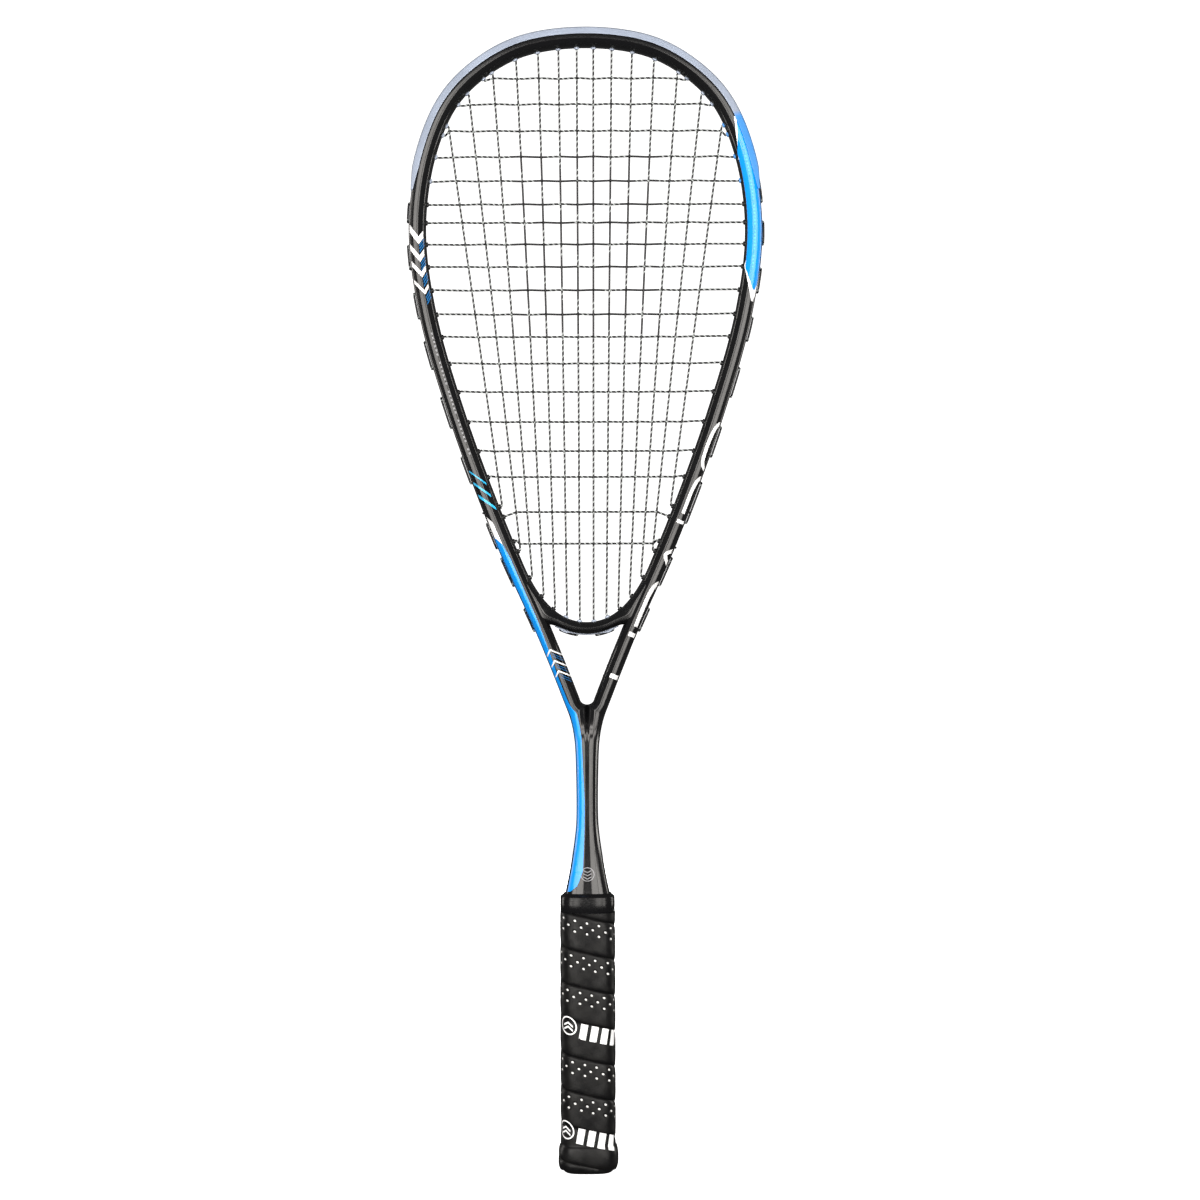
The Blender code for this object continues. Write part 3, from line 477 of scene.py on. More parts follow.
class Finish(Enum):
    """Every finish on the racket."""

    BLACK = LacquerFinish("satin_black_lacquer", (0.0045, 0.0045, 0.005), 0.22, 0.3, 0.006)
    AZURE = LacquerFinish("azure_lacquer", (0.0, 0.27, 0.82), 0.3, 0.3, 0.02)
    DEEP = LacquerFinish("deep_azure_lacquer", (0.008, 0.13, 0.36), 0.3, 0.3, 0.02)
    CYAN = LacquerFinish("cyan_lacquer", (0.03, 0.42, 0.72), 0.3, 0.3, 0.02)
    WHITE = LacquerFinish("white_lacquer", (0.9, 0.9, 0.9), 0.34, 0.3)
    GREY = LacquerFinish("grey_lacquer", (0.2, 0.2, 0.21), 0.36, 0.3)
    SMOKE = GuardFinish("milky_nylon", (0.38, 0.43, 0.53), 0.33, 0.86)
    BLACK_NYLON = NylonFinish("strip_nylon", (0.006, 0.006, 0.007), 0.45)
    CAP = NylonFinish("cap_rubber", (0.006, 0.006, 0.006), 0.5, specular=0.26)
    STRING = StringFinish("twisted_string")
    GRIP = GripFinish("perforated_grip")
    BAND = NylonFinish("band_sleeve", (0.005, 0.005, 0.0055), 0.24, specular=0.3)
    FOAM = NylonFinish("handle_foam", (0.02, 0.02, 0.02), 0.8)

    def material(self) -> bpy.types.Material:
        """The finish's material, made once."""
        return bpy.data.materials.get(self.value.name) or self.value.make()


# ---------------------------------------------------------------- frame tube

@dataclass
class FrameTube:
    """The one-piece carbon tube: hoop, two arms and the double shaft that runs into the handle.

    s is the distance along the left half's outer edge from the top of the hoop. A place on its front is (s, a),
    where a is the share of the way from the outer edge to the inner edge.
    """

    handle_length: float = 166.0
    shaft_length: float = 100.0
    head_length: float = 417.5
    head_width: float = 212.0
    beam_depth: float = 18.5
    arm_depth: float = 20.0
    shaft_depth: float = 19.0
    top_width: float = 9.5
    side_width: float = 10.4
    arm_width: float = 9.5
    neck_width: float = 13.2
    flare_width: float = 27.2
    flare_depth: float = 23.0
    flare_rise: float = 45.0
    crotch_radius: float = 4.5
    valley_length: float = 24.0
    groove_depth: float = 1.5
    groove_width: float = 5.6
    groove_end: float = 31.0
    lip: float = 0.4
    tail_width: float = 24.0
    tail_depth: float = 19.0
    throat_height: float = 49.5
    head_shape: tuple = (
        (0.0, 1.0), (0.373, 0.987), (0.627, 0.952), (0.811, 0.903), (0.943, 0.823), (1.0, 0.716),
        (0.946, 0.598), (0.780, 0.448), (0.521, 0.270), (0.270, 0.1265), (0.135, 0.0407))
    fork_shape: tuple = ((3.3, 5.0), (1.0, -7.0), (0.1, -26.0))
    arm_section: tuple = ((0, 0), (0, 0), (0.06, 0.66), (0.28, 0.96), (0.54, 1.0), (0.86, 0.74), (1, 0.32))
    shaft_section: tuple = ((0, 0), (0, 0), (0.08, 0.6), (0.26, 0.84), (0.5, 0.95), (0.8, 1), (1, 1))
    s: Array = field(init=False)
    outer: Array = field(init=False)
    inner: Array = field(init=False)
    inward: Array = field(init=False)
    width: Array = field(init=False)

    def __post_init__(self) -> None:
        """Works out the outline and everything that varies along it."""
        self.z_fork = self.handle_length + self.shaft_length
        half, neck, flare = self.head_width / 2, self.neck_width / 2, self.flare_width / 2
        head = [(half * x, self.z_fork + self.head_length * z) for x, z in self.head_shape]
        fork = [(neck + x, self.z_fork + z) for x, z in self.fork_shape]
        rise = [(neck + (flare - neck) * (1 - u) ** 1.4, self.handle_length + self.flare_rise * u)
                for u in (1.0, 0.8, 0.5, 0.25, 0.0)]
        curve = smooth_curve([(-head[1][0], head[1][1]), *head, *fork, *rise])
        curve = curve[np.argmin(np.abs(curve[:60, 0])):]
        curve[0, 0] = 0
        self.outer = curve * (-1, 1)
        self.s = np.concatenate([[0], np.cumsum(np.linalg.norm(np.diff(self.outer, axis=0), axis=1))])
        tangent = unit(np.gradient(self.outer, self.s, axis=0))
        tangent[0] = (-1, 0)
        self.inward = np.stack([-tangent[:, 1], tangent[:, 0]], axis=1)
        z = self.outer[:, 1]
        self.width = np.interp((z - self.z_fork) / self.head_length, (0.12, 0.24, 0.7, 1.0),
                               (self.arm_width, self.side_width, self.side_width, self.top_width))
        self.inner = self.outer + self.inward * self.width[:, None]
        self._round_the_crotch()
        self.half_depth = np.interp(
            z, (self.handle_length, self.handle_length + self.flare_rise / 2, self.z_fork,
                self.z_crotch + self.throat_height, self.z_fork + 0.4 * self.head_length),
            (self.flare_depth / 2, self.shaft_depth / 2, self.arm_depth / 2, self.arm_depth / 2,
             self.beam_depth / 2))
        self.groove = self.groove_depth * np.clip((z - self.z_crotch - self.groove_end) / 6.0, 0, 1)
        fall = np.clip((self.z_crotch - self.inner[:, 1]) / self.valley_length, 0, 1)
        self.blend = fall * fall * (3 - 2 * fall)

    def _round_the_crotch(self) -> None:
        """Ends the inner edge in an arc that meets the other arm's at the middle."""
        centres = self.inner + self.inward * self.crotch_radius
        below = int(np.argmin(self.outer[:, 0]))
        first = below + int(np.argmax(centres[below:, 0] >= 0))
        centre = np.array([0.0, centres[first, 1]])
        self.z_crotch = centre[1] - self.crotch_radius
        last = first + int(np.argmax(self.outer[first:, 1] < self.outer[first, 1] - 6))
        angle = np.linspace(math.atan2(self.inward[first, 1], self.inward[first, 0]), math.pi / 2,
                            last - first + 1)
        self.inner[first:last + 1] = centre - self.crotch_radius * np.stack([np.cos(angle), np.sin(angle)], 1)
        self.inner[last:, 0] = 0
        fall = np.clip((self.outer[last, 1] - self.outer[last:, 1]) / self.valley_length, 0, 1)
        rise = (self.z_crotch - self.outer[last, 1]) * (1 - fall * fall * (3 - 2 * fall))
        self.inner[last:, 1] = self.outer[last:, 1] + rise
        self.first_arc, self.s_crotch = float(self.s[first]), float(self.s[last])

    def s_at_height(self, z: float) -> float:
        """Distance along the outer edge down to a height."""
        return float(np.interp(z, self.outer[::-1, 1], self.s[::-1]))

    def half_sections(self, s: Array) -> Array:
        """Front half sections, outer edge first, as (station, point, (share across, depth in millimetres)).

        The section is a polygon whose shares go from a tube's to half of the shaft's, with its corners cut.
        """
        blend, depth = sample(s, self.s, self.blend)[:, None], sample(s, self.s, self.half_depth)[:, None]
        arm, shaft = np.array(self.arm_section, float), np.array(self.shaft_section, float)
        shares = arm + (shaft - arm) * blend[..., None]
        shares[..., 1] *= depth
        shares[:, 0, 1], shares[:, 1, 1] = self.groove_width / 2, self.groove_width / 2 + self.lip
        shares[:, 0, 0] = sample(s, self.s, self.groove) / sample(s, self.s, self.width)
        return soften(shares, rounds=3, cut=0.12)

    def plan(self, s: Array, across: Array) -> Array:
        """Points (x, z) at shares of the way from the outer edge to the inner edge."""
        outer, inner = sample(s, self.s, self.outer), sample(s, self.s, self.inner)
        across = np.asarray(across)[..., None]
        return outer[:, None] + across * (inner - outer)[:, None]

    def skin(self, s: Array) -> Array:
        """The left half's surface as (station, point, xyz), from the inner edge's front round the outer edge."""
        section = self.half_sections(s)
        plan = self.plan(s, section[..., 0])
        front = np.stack([plan[..., 0], -section[..., 1], plan[..., 1]], axis=-1)
        return np.concatenate([front[:, ::-1], front * (1, -1, 1)], axis=1)

    def front(self, s: Array, across: Array, lift: float = 0.0) -> Array:
        """Points on the front at (s, a), raised by the lift along the surface's normal.

        Args:
            s: distances, any shape.
            across: shares across, the same shape.
            lift: height over the surface.

        Returns:
            An array of that shape, with xyz last.
        """
        shape, flat_s, flat_a = s.shape, s.ravel(), across.ravel()

        def surface(at: Array, share: Array) -> Array:
            blend = sample(at, self.s, self.blend)
            arm, shaft = (soften(np.array(section, float), rounds=3, cut=0.12)
                          for section in (self.arm_section, self.shaft_section))
            depth = sample(at, self.s, self.half_depth)
            edge = (self.groove_width / 2 + self.lip) / depth
            arm_depth = np.interp(share, arm[:, 0], arm[:, 1])
            shaft_depth = np.interp(share, shaft[:, 0], shaft[:, 1])
            y = np.maximum(arm_depth + (shaft_depth - arm_depth) * blend, edge) * depth
            outer, inner = sample(at, self.s, self.outer), sample(at, self.s, self.inner)
            plan = outer + share[:, None] * (inner - outer)
            return np.stack([plan[:, 0], -y, plan[:, 1]], axis=-1)

        here = surface(flat_s, flat_a)
        along = surface(flat_s + 0.4, flat_a) - surface(flat_s - 0.4, flat_a)
        over = surface(flat_s, np.minimum(flat_a + 0.02, 1)) - surface(flat_s, np.maximum(flat_a - 0.02, 0))
        normal = unit(np.cross(along, over))
        normal *= np.where(normal[:, 1:2] > 0, -1, 1)
        return (here + normal * lift).reshape(*shape, 3)

    def build(self) -> None:
        """Makes the frame's skin, with an inner wall round the hoop and a flat end inside the handle."""
        hoop = self.skin(np.union1d(np.linspace(0, self.s_crotch, 330),
                                    np.linspace(self.first_arc, self.s_crotch, 40)))
        hoop[0, :, 0] = 0
        step = np.linspace(0, 1, 7)[:, None]
        inner_wall = hoop[:, None, 0] * (1 - step) + hoop[:, None, -1] * step
        shaft = self.skin(np.linspace(self.s_crotch, self.s[-1], 90))
        shaft[:, [0, -1], 0] = 0
        tail = shaft[-1:] * (self.tail_width / self.flare_width, self.tail_depth / self.flare_depth, 1)
        shaft = np.concatenate([shaft, tail - (0, 0, 0.3), tail * (1, 1, 0) + (0, 0, 3.3)])
        left = [hoop, inner_wall, shaft]
        sheets = [Sheet(points) for points in left] + [Sheet(mirrored(points)) for points in left]
        sheets.append(Sheet(np.stack([shaft[-1], mirrored(shaft[-1])])))
        piece = build_piece("carbon_frame", sheets, Finish.BLACK, sharp=50)
        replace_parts(piece, "frame")


@dataclass
class ThroatBridge:
    """The bar across the throat, a curve from each arm's inner edge to the middle. t runs from 0 at its left tip."""

    tube: FrameTube
    height: float = 7.2
    depth: float = 17.0
    wing: float = 36.0
    gusset: float = 4.5
    sweep: tuple[float, float] = (24.0, 16.0)
    strip_thickness: float = 1.0
    t: Array = field(init=False)
    inner: Array = field(init=False)
    outer: Array = field(init=False)
    outward: Array = field(init=False)

    def __post_init__(self) -> None:
        """Works out the bar's upper edge as a cubic curve, and its lower edge one height below it."""
        tube = self.tube
        self.z_middle = tube.z_crotch + tube.throat_height
        tip = int(np.argmax((tube.inner[:, 1] < self.z_middle + self.wing) & (tube.s > tube.s[-1] / 4)))
        start, end = tube.inner[tip], np.array([0.0, self.z_middle])
        down = unit(tube.inner[tip + 1] - tube.inner[tip])
        near, far = start + down * self.sweep[0], end - (self.sweep[1], 0)
        t = np.linspace(0, 1, 120)[:, None]
        self.t = t[:, 0]
        self.inner = (1 - t) ** 3 * start + 3 * (1 - t) ** 2 * t * near + 3 * (1 - t) * t ** 2 * far + t ** 3 * end
        tangent = unit(np.gradient(self.inner, axis=0))
        tangent[-1] = (1, 0)
        self.outward = np.stack([tangent[:, 1], -tangent[:, 0]], axis=1)
        bump = np.exp(-(((self.t - 0.5) / 0.1) ** 2))
        self.outer = self.inner + self.outward * (self.height + self.gusset * bump)[:, None]
        self.groove = self.strip_thickness * np.clip((self.t - 0.6) / 0.06, 0, 1)

    def build(self) -> None:
        """Makes the bar as one loft of softened sections, its tips sunk in the arms."""
        shares = np.repeat(np.array(self.tube.arm_section, float)[None], len(self.t), axis=0)
        shares[..., 1] *= self.depth / 2
        lip = self.tube.groove_width / 2
        shares[:, 0, 1], shares[:, 1, 1] = lip, lip + self.tube.lip
        shares[:, 0, 0] = self.groove / np.linalg.norm(self.outer - self.inner, axis=1)
        shares = soften(shares, rounds=3, cut=0.12)
        plan = self.outer[:, None] + shares[..., :1] * (self.inner - self.outer)[:, None]
        front = np.stack([plan[..., 0], -shares[..., 1], plan[..., 1]], axis=-1)
        half = np.concatenate([front, front[:, ::-1] * (1, -1, 1), front[:, :1]], axis=1)
        half[-1, :, 0] = 0
        sheets = [Sheet(np.concatenate([half, mirrored(half[-2::-1])]), cap_ends=True)]
        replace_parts(build_piece("carbon_bridge", sheets, Finish.BLACK, sharp=50), "throat_bridge")


# ---------------------------------------------------------------- string pattern

@dataclass
class Hole:
    """A grommet hole on the left half, from the inside of the head out to the groove."""

    label: str
    inner: Array
    outer: Array
    at: float
    place: str

    def __post_init__(self) -> None:
        """Works out the groove's depth where the hole comes out."""
        self.inner, self.outer = np.asarray(self.inner, float).reshape(2), np.asarray(self.outer, float).reshape(2)
        self.groove = 1.0 if self.place == "bridge" else 1.5

    def point(self, beyond: float, inside: bool) -> Array:
        """A point on the hole's axis, that far beyond its inside or its outside end."""
        along = unit(self.outer - self.inner)
        x, z = self.inner - along * beyond if inside else self.outer + along * beyond
        return np.array([x, 0.0, z])


@dataclass
class StringPattern:
    """Where every string runs, and the holes that it passes."""

    tube: FrameTube
    bridge: ThroatBridge
    mains_per_side: int = 7
    spacings: tuple = (15.5, 16, 15.5, 14.5, 14, 11, 13, 13.5, 14, 14.5, 13.5, 16, 17, 18, 17.5, 15.5, 21, 19)
    top_gap: float = 18.5
    bottom_gap: float = 47.0
    fan_high: tuple[float, float] = (0.0915, 0.00557)
    fan_low: tuple[float, float] = (0.0858, -0.0017)
    fan_heights: tuple[float, float] = (0.92, 0.321)
    hole_pitch: float = 6.6
    guard_end: float = 0.757

    def __post_init__(self) -> None:
        """Places the holes."""
        tube = self.tube
        top = tube.z_fork + tube.head_length - tube.top_width - self.top_gap
        steps = np.concatenate([[0], np.cumsum(self.spacings)])
        self.cross_z = top - (top - self.bridge.z_middle - self.bottom_gap) * steps / steps[-1]
        self.holes = self._left_holes()
        self.by_label = {hole.label: hole for hole in self.holes}
        places = np.array(sorted(hole.at for hole in self.holes if hole.place == "hoop"))
        k = int(np.searchsorted(places, tube.s_at_height(tube.z_fork + self.guard_end * tube.head_length)))
        self.guard_stop = float(places[k - 1] + places[k]) / 2
        self.strip_stop = self.by_label["low3"].at + 4.0

    def main_x(self, number: int, z: Array | float) -> Array | float:
        """The x of a left main string at a height: straight, and a little further out at the top."""
        u, half = number - 0.5, self.tube.head_width / 2
        high, low = (half * (a * u + b * u * u) for a, b in (self.fan_high, self.fan_low))
        z_high, z_low = (self.tube.z_fork + self.tube.head_length * share for share in self.fan_heights)
        return -(low + (high - low) * (np.asarray(z) - z_low) / (z_high - z_low))

    @staticmethod
    def zero(values: Array, positions: Array, start: float, stop: float) -> float:
        """The first position between start and stop where the sampled values change sign."""
        inside = (positions >= start) & (positions <= stop)
        v, p = values[inside], positions[inside]
        k = int(np.argmax(v[:-1] * v[1:] <= 0))
        return float(p[k] + (p[k + 1] - p[k]) * v[k] / (v[k] - v[k + 1]))

    def _left_holes(self) -> list[Hole]:
        """Every hole of the left half, with close neighbours moved apart."""
        tube, bridge = self.tube, self.bridge
        s, inner, outer = tube.s, tube.inner, tube.outer
        widest, tip = float(s[np.argmin(outer[:, 0])]), bridge.inner[0]
        places = [[self.zero(inner[:, 1] - z, s, 20.0, tube.first_arc), f"cross{k}"]
                  for k, z in enumerate(self.cross_z)]
        holes = []
        for number in range(1, self.mains_per_side + 1):
            offset = inner[:, 0] - self.main_x(number, inner[:, 1])
            places.append([self.zero(offset, s, 0.0, widest), f"top{number}"])
            if self.main_x(number, tip[1]) < tip[0]:
                places.append([self.zero(offset, s, widest, tube.first_arc), f"low{number}"])
                continue
            t = self.zero(bridge.inner[:, 0] - self.main_x(number, bridge.inner[:, 1]), bridge.t, 0.0, 1.0)
            start, out = sample(t, bridge.t, bridge.inner)[0], sample(t, bridge.t, bridge.outward)[0]
            if sample(t, bridge.t, bridge.groove)[0] > 0:
                holes.append(Hole(f"low{number}", start, sample(t, bridge.t, bridge.outer), t, "bridge"))
                continue
            at = self.zero((outer - start) @ np.array([out[1], -out[0]]), s, widest, tube.first_arc)
            holes.append(Hole(f"low{number}", start, sample(at, s, outer), at, "corner"))
        places = sorted(places)
        for _ in range(60):
            for low, high in zip(places, places[1:]):
                short = max(0.0, self.hole_pitch - (high[0] - low[0]))
                low[0] -= short / 2
                high[0] += short / 2
        return holes + [Hole(label, sample(at, s, inner), sample(at, s, outer), at, "hoop") for at, label in places]


# ---------------------------------------------------------------- strings

@dataclass
class StringBed:
    """One string for the mains and one for the crosses, woven, with short runs round the outside of the hoop."""

    pattern: StringPattern
    diameter: float = 1.25
    weave: float = 1.32
    sides: int = 10
    loop_offset: float = 1.4
    proud: float = 1.0
    strip_thickness: float = 1.0
    gap: float = 0.3

    def mouth(self, hole: Hole) -> Array:
        """Where the string leaves its grommet inside the head."""
        return hole.point(self.proud + self.diameter / 2, True)

    def exit(self, hole: Hole) -> Array:
        """Where the string turns into the groove."""
        return hole.point(self.strip_thickness + 2 * self.gap + self.diameter / 2 - hole.groove, False)

    def loop(self, first: Hole, second: Hole, offset: float) -> Array:
        """Points along the groove between two holes of the left half, off to one side of its middle."""
        tube, bridge = self.pattern.tube, self.pattern.bridge
        lift = 2 * self.gap + self.diameter / 2
        if first.place == "bridge":
            positions, edge = bridge.t, bridge.outer + bridge.outward * lift
        else:
            positions, edge = tube.s, tube.outer - tube.inward * (lift + self.strip_thickness - tube.groove_depth)
        start, stop = sorted((first.at, second.at))
        inset = min(2.2, (stop - start) / 4) if first.place != "bridge" else (stop - start) / 4
        at = np.linspace(start + inset, stop - inset, 10)
        plan = sample(at if first.at < second.at else at[::-1], positions, edge)
        return np.stack([plan[:, 0], np.full(len(plan), offset), plan[:, 1]], axis=1)

    def _bend(self, points: Array) -> Array:
        """The path with its corners rounded: points are added close to each bend, then the corners are cut."""
        ahead = np.diff(points, axis=0)
        length = np.linalg.norm(ahead, axis=1, keepdims=True)
        near = np.minimum(0.9, length / 3)
        first, last = points[:-1] + ahead / length * near, points[1:] - ahead / length * near
        dense = np.stack([points[:-1], first, last], axis=1).reshape(-1, 3)
        return soften(np.vstack([dense, points[-1:]]), rounds=2, cut=0.25)

    def mains(self) -> Array:
        """The mains' path, from the left outermost main's lower end to the right outermost's."""
        pattern, path, upwards = self.pattern, [], True
        for number in range(pattern.mains_per_side, 0, -1):
            low, top = pattern.by_label[f"low{number}"], pattern.by_label[f"top{number}"]
            run = np.stack([self.exit(low), self.mouth(low), self.mouth(top), self.exit(top)])
            path.append(run if upwards else run[::-1])
            if number > 1:
                end = "top" if upwards else "low"
                path.append(self.loop(pattern.by_label[f"{end}{number}"], pattern.by_label[f"{end}{number - 1}"],
                                      self.loop_offset))
            upwards = not upwards
        tube = pattern.tube
        over = sample(np.linspace(pattern.by_label["top1"].at - 2.2, 0, 4), tube.s, tube.outer - tube.inward * (
            2 * self.gap + self.diameter / 2 + self.strip_thickness - tube.groove_depth))
        path.append(np.stack([over[:, 0], np.full(4, self.loop_offset), over[:, 1]], axis=1))
        left = self._bend(np.vstack(path))
        return np.vstack([left, mirrored(left[-2::-1])])

    def crosses(self) -> Array:
        """The crosses' path from the top down, each a cosine over and under the mains."""
        pattern, path, from_left = self.pattern, [], True
        ends = [[self.mouth(pattern.by_label[f"{end}{number}"]) for end in ("low", "top")]
                for number in range(pattern.mains_per_side, 0, -1)]
        for k, z in enumerate(pattern.cross_z):
            hole = pattern.by_label[f"cross{k}"]
            inside = np.array([np.interp(z, (low[2], top[2]), (low[0], top[0])) for low, top in ends
                               if low[2] < z < top[2]])
            x = np.concatenate([[self.mouth(hole)[0]], inside, -inside[::-1], [-self.mouth(hole)[0]]])
            peak = np.where(np.arange(len(x)) % 2, -1.0, 1.0) * (-1 if k % 2 else 1) * self.weave
            peak[[0, -1]] = 0
            share = np.linspace(0, 1, 9)[None, :-1]
            blend = (1 - np.cos(math.pi * share)) / 2
            run_x = (x[:-1, None] * (1 - share) + x[1:, None] * share).ravel()
            run_y = (peak[:-1, None] * (1 - blend) + peak[1:, None] * blend).ravel()
            mouth_z = np.interp(run_x, (x[0], x[1], x[-2], x[-1]), (self.mouth(hole)[2], z, z, self.mouth(hole)[2]))
            run = np.vstack([self.exit(hole), np.stack([run_x, run_y, mouth_z], axis=1), mirrored(self.mouth(hole)),
                             mirrored(self.exit(hole))])
            path.append(run if from_left else run[::-1])
            if k < len(pattern.cross_z) - 1:
                turn = self.loop(hole, pattern.by_label[f"cross{k + 1}"], -self.loop_offset)
                path.append(mirrored(turn) if from_left else turn)
            from_left = not from_left
        return self._bend(np.vstack(path))

    def sheet(self, path: Array) -> Sheet:
        """A round cord along the path. The ring at each point is square to the path, with Y as its reference.

        The pattern coordinates are the share round the cord and the distance along it. They stay at nought on the
        short runs outside the hoop, which the finish then shows in the dark yarn colour alone: painted shade of the
        groove that they lie in.
        """
        ahead = unit(np.gradient(path, axis=0))
        side = unit(np.cross(ahead, (0, 1, 0)))
        up = np.cross(side, ahead)
        angle = np.linspace(0, 2 * math.pi, self.sides + 1)
        ring = np.cos(angle)[None, :, None] * side[:, None] + np.sin(angle)[None, :, None] * up[:, None]
        along = np.concatenate([[0], np.cumsum(np.linalg.norm(np.diff(path, axis=0), axis=1))])
        pattern = np.stack(np.broadcast_arrays(angle[None] / (2 * math.pi), along[:, None]), axis=-1)
        # Nought pattern on the runs in the groove: the plain dark yarn there is painted shade.
        pattern = pattern * (np.abs(path[:, 1]) < self.loop_offset - 0.05)[:, None, None]
        return Sheet(path[:, None] + ring * self.diameter / 2, pattern, cap_ends=True)

    def build(self) -> None:
        """Makes the two strings."""
        for name, path in (("main_string", self.mains()), ("cross_string", self.crosses())):
            piece = build_piece(f"woven_{name}", [self.sheet(path)], Finish.STRING)
            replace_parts(piece, name)


# ---------------------------------------------------------------- guard and grommet strips

@dataclass
class Grommets:
    """The clear guard over the top of the head, the black side strips and the throat strip, with their barrels."""

    pattern: StringPattern
    gap: float = 0.3
    strip_thickness: float = 1.0
    guard_proud: float = 2.5
    guard_skin: float = 0.8
    guard_flange: float = 2.6
    guard_taper: float = 14.0
    barrel_radius: float = 1.5
    bore_radius: float = 1.0
    barrel_proud: float = 1.0
    sides: int = 18

    def barrels(self, holes: Sequence[Hole], mirror: bool) -> list[Sheet]:
        """Short tubes through these holes: out along the bore, over a rounded rim and back along the outside."""
        sheets = []
        angle = np.linspace(0, 2 * math.pi, self.sides + 1)[None, :, None]
        rim = (self.barrel_radius - self.bore_radius) / 2
        turn = np.linspace(0, math.pi, 7)
        radius = np.concatenate([[self.bore_radius], self.bore_radius + rim * (1 - np.cos(turn)), [self.barrel_radius]])
        for hole in holes:
            start, stop = hole.point(self.barrel_proud, True), hole.point(2 * self.gap - hole.groove, False)
            along = unit(stop - start)
            side = unit(np.cross(along, (0, 1, 0)))
            length = float(np.linalg.norm(stop - start))
            depth = np.concatenate([[length], rim * (1 - np.sin(turn)), [length]])
            ring = np.cos(angle) * side + np.sin(angle) * np.array([0.0, 1.0, 0.0])
            points = start + depth[:, None, None] * along + radius[:, None, None] * ring
            sheets.append(Sheet(mirrored(points) if mirror else points))
        return sheets

    def channel(self, s: Array) -> Array:
        """Closed guard sections as (station, point, (height over the outer edge, y)).

        Each lies in the groove, stands proud over it, laps over both edges of the hoop and thins out towards the
        guard's end.
        """
        tube = self.pattern.tube
        width, half_depth = sample(s, tube.s, tube.width), sample(s, tube.s, tube.half_depth)
        section = np.array(tube.arm_section, float)
        ending = np.clip((self.pattern.guard_stop - s) / self.guard_taper, 0, 1)
        proud = 0.45 + (self.guard_proud - 0.45) * ending * np.interp(s, (60, 200), (1.0, 0.62))
        lap = self.guard_flange * (0.45 + 0.55 * ending)
        low, floor = self.gap - tube.groove_depth, tube.groove_width / 2 - self.gap
        lip = tube.groove_width / 2 + tube.lip
        face = np.interp(lap / width, section[2:, 0], section[2:, 1]) * half_depth
        knee = section[2, 1] * half_depth
        flat = np.ones_like(s)
        half = np.stack([np.stack(pair, axis=-1) for pair in (
            (low * flat, floor * flat), (self.gap * flat, (lip - 0.1) * flat),
            (self.gap - section[2, 0] * width, knee + self.gap), (-lap, face + self.gap),
            (-lap + 0.15, face + self.gap + self.guard_skin), (proud * 0.62, knee + 0.9), (proud, (lip + 0.9) * flat),
            (proud, (floor + 0.2) * flat), ((low + self.strip_thickness) * flat, (floor - 0.3) * flat))], axis=1)
        ring = np.concatenate([half, half[:, ::-1] * (1, -1)], axis=1)
        ring = soften(ring, rounds=3, cut=0.14, closed=True)
        return np.concatenate([ring, ring[:, :1]], axis=1)

    @staticmethod
    def carried(outer: Array, outward: Array, profile: Array) -> Array:
        """Profiles of (height, y) carried along an outline."""
        plan = outer[:, None] + profile[..., :1] * outward[:, None]
        return np.stack([plan[..., 0], profile[..., 1], plan[..., 1]], axis=-1)

    def strip_ring(self, count: int, low: float, extra: Array | float = 0.0) -> Array:
        """Closed flat strip sections with rounded edges, the outside raised by the extra height."""
        half = self.pattern.tube.groove_width / 2 - self.gap
        high = low + self.strip_thickness + np.broadcast_to(extra, (count,))
        flat = np.ones(count)
        ring = np.stack([np.stack(pair, axis=-1) for pair in (
            (low * flat, -half * flat), (low * flat, half * flat), (high, half * flat), (high, -half * flat))], axis=1)
        ring = soften(ring, rounds=3, cut=0.12, closed=True)
        return np.concatenate([ring, ring[:, :1]], axis=1)

    def build(self) -> None:
        """Makes the guard, the two side strips and the throat strip."""
        self._guard()
        for side, mirror in (("left", False), ("right", True)):
            self._side_strip(side, mirror)
        self._throat_strip()

    def _guard(self) -> None:
        """The guard, swept over the top of the hoop from end to end."""
        tube, stop = self.pattern.tube, self.pattern.guard_stop
        s = spread(0.0, stop, 1.5)
        half = self.carried(sample(s, tube.s, tube.outer), -sample(s, tube.s, tube.inward), self.channel(s))
        half[0, :, 0] = 0
        holes = [hole for hole in self.pattern.holes if hole.place == "hoop" and hole.at < stop]
        sheets = [Sheet(np.concatenate([half[::-1], mirrored(half[1:])]), cap_ends=True)]
        sheets += self.barrels(holes, False) + self.barrels(holes, True)
        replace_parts(build_piece("clear_bumper_guard", sheets, Finish.SMOKE, sharp=60), "bumper_guard")

    def _side_strip(self, side: str, mirror: bool) -> None:
        """One black strip in the groove from the guard's end down to the throat."""
        tube, pattern = self.pattern.tube, self.pattern
        s = spread(pattern.guard_stop + self.gap, pattern.strip_stop, 2.0)
        points = self.carried(sample(s, tube.s, tube.outer), -sample(s, tube.s, tube.inward),
                              self.strip_ring(len(s), self.gap - tube.groove_depth))
        holes = [hole for hole in pattern.holes
                 if hole.place == "corner" or (hole.place == "hoop" and hole.at > pattern.guard_stop)]
        sheets = [Sheet(mirrored(points) if mirror else points, cap_ends=True), *self.barrels(holes, mirror)]
        piece = build_piece(f"nylon_side_strip_{side}", sheets, Finish.BLACK_NYLON, sharp=60)
        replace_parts(piece, f"side_grommet_strip_{side}")

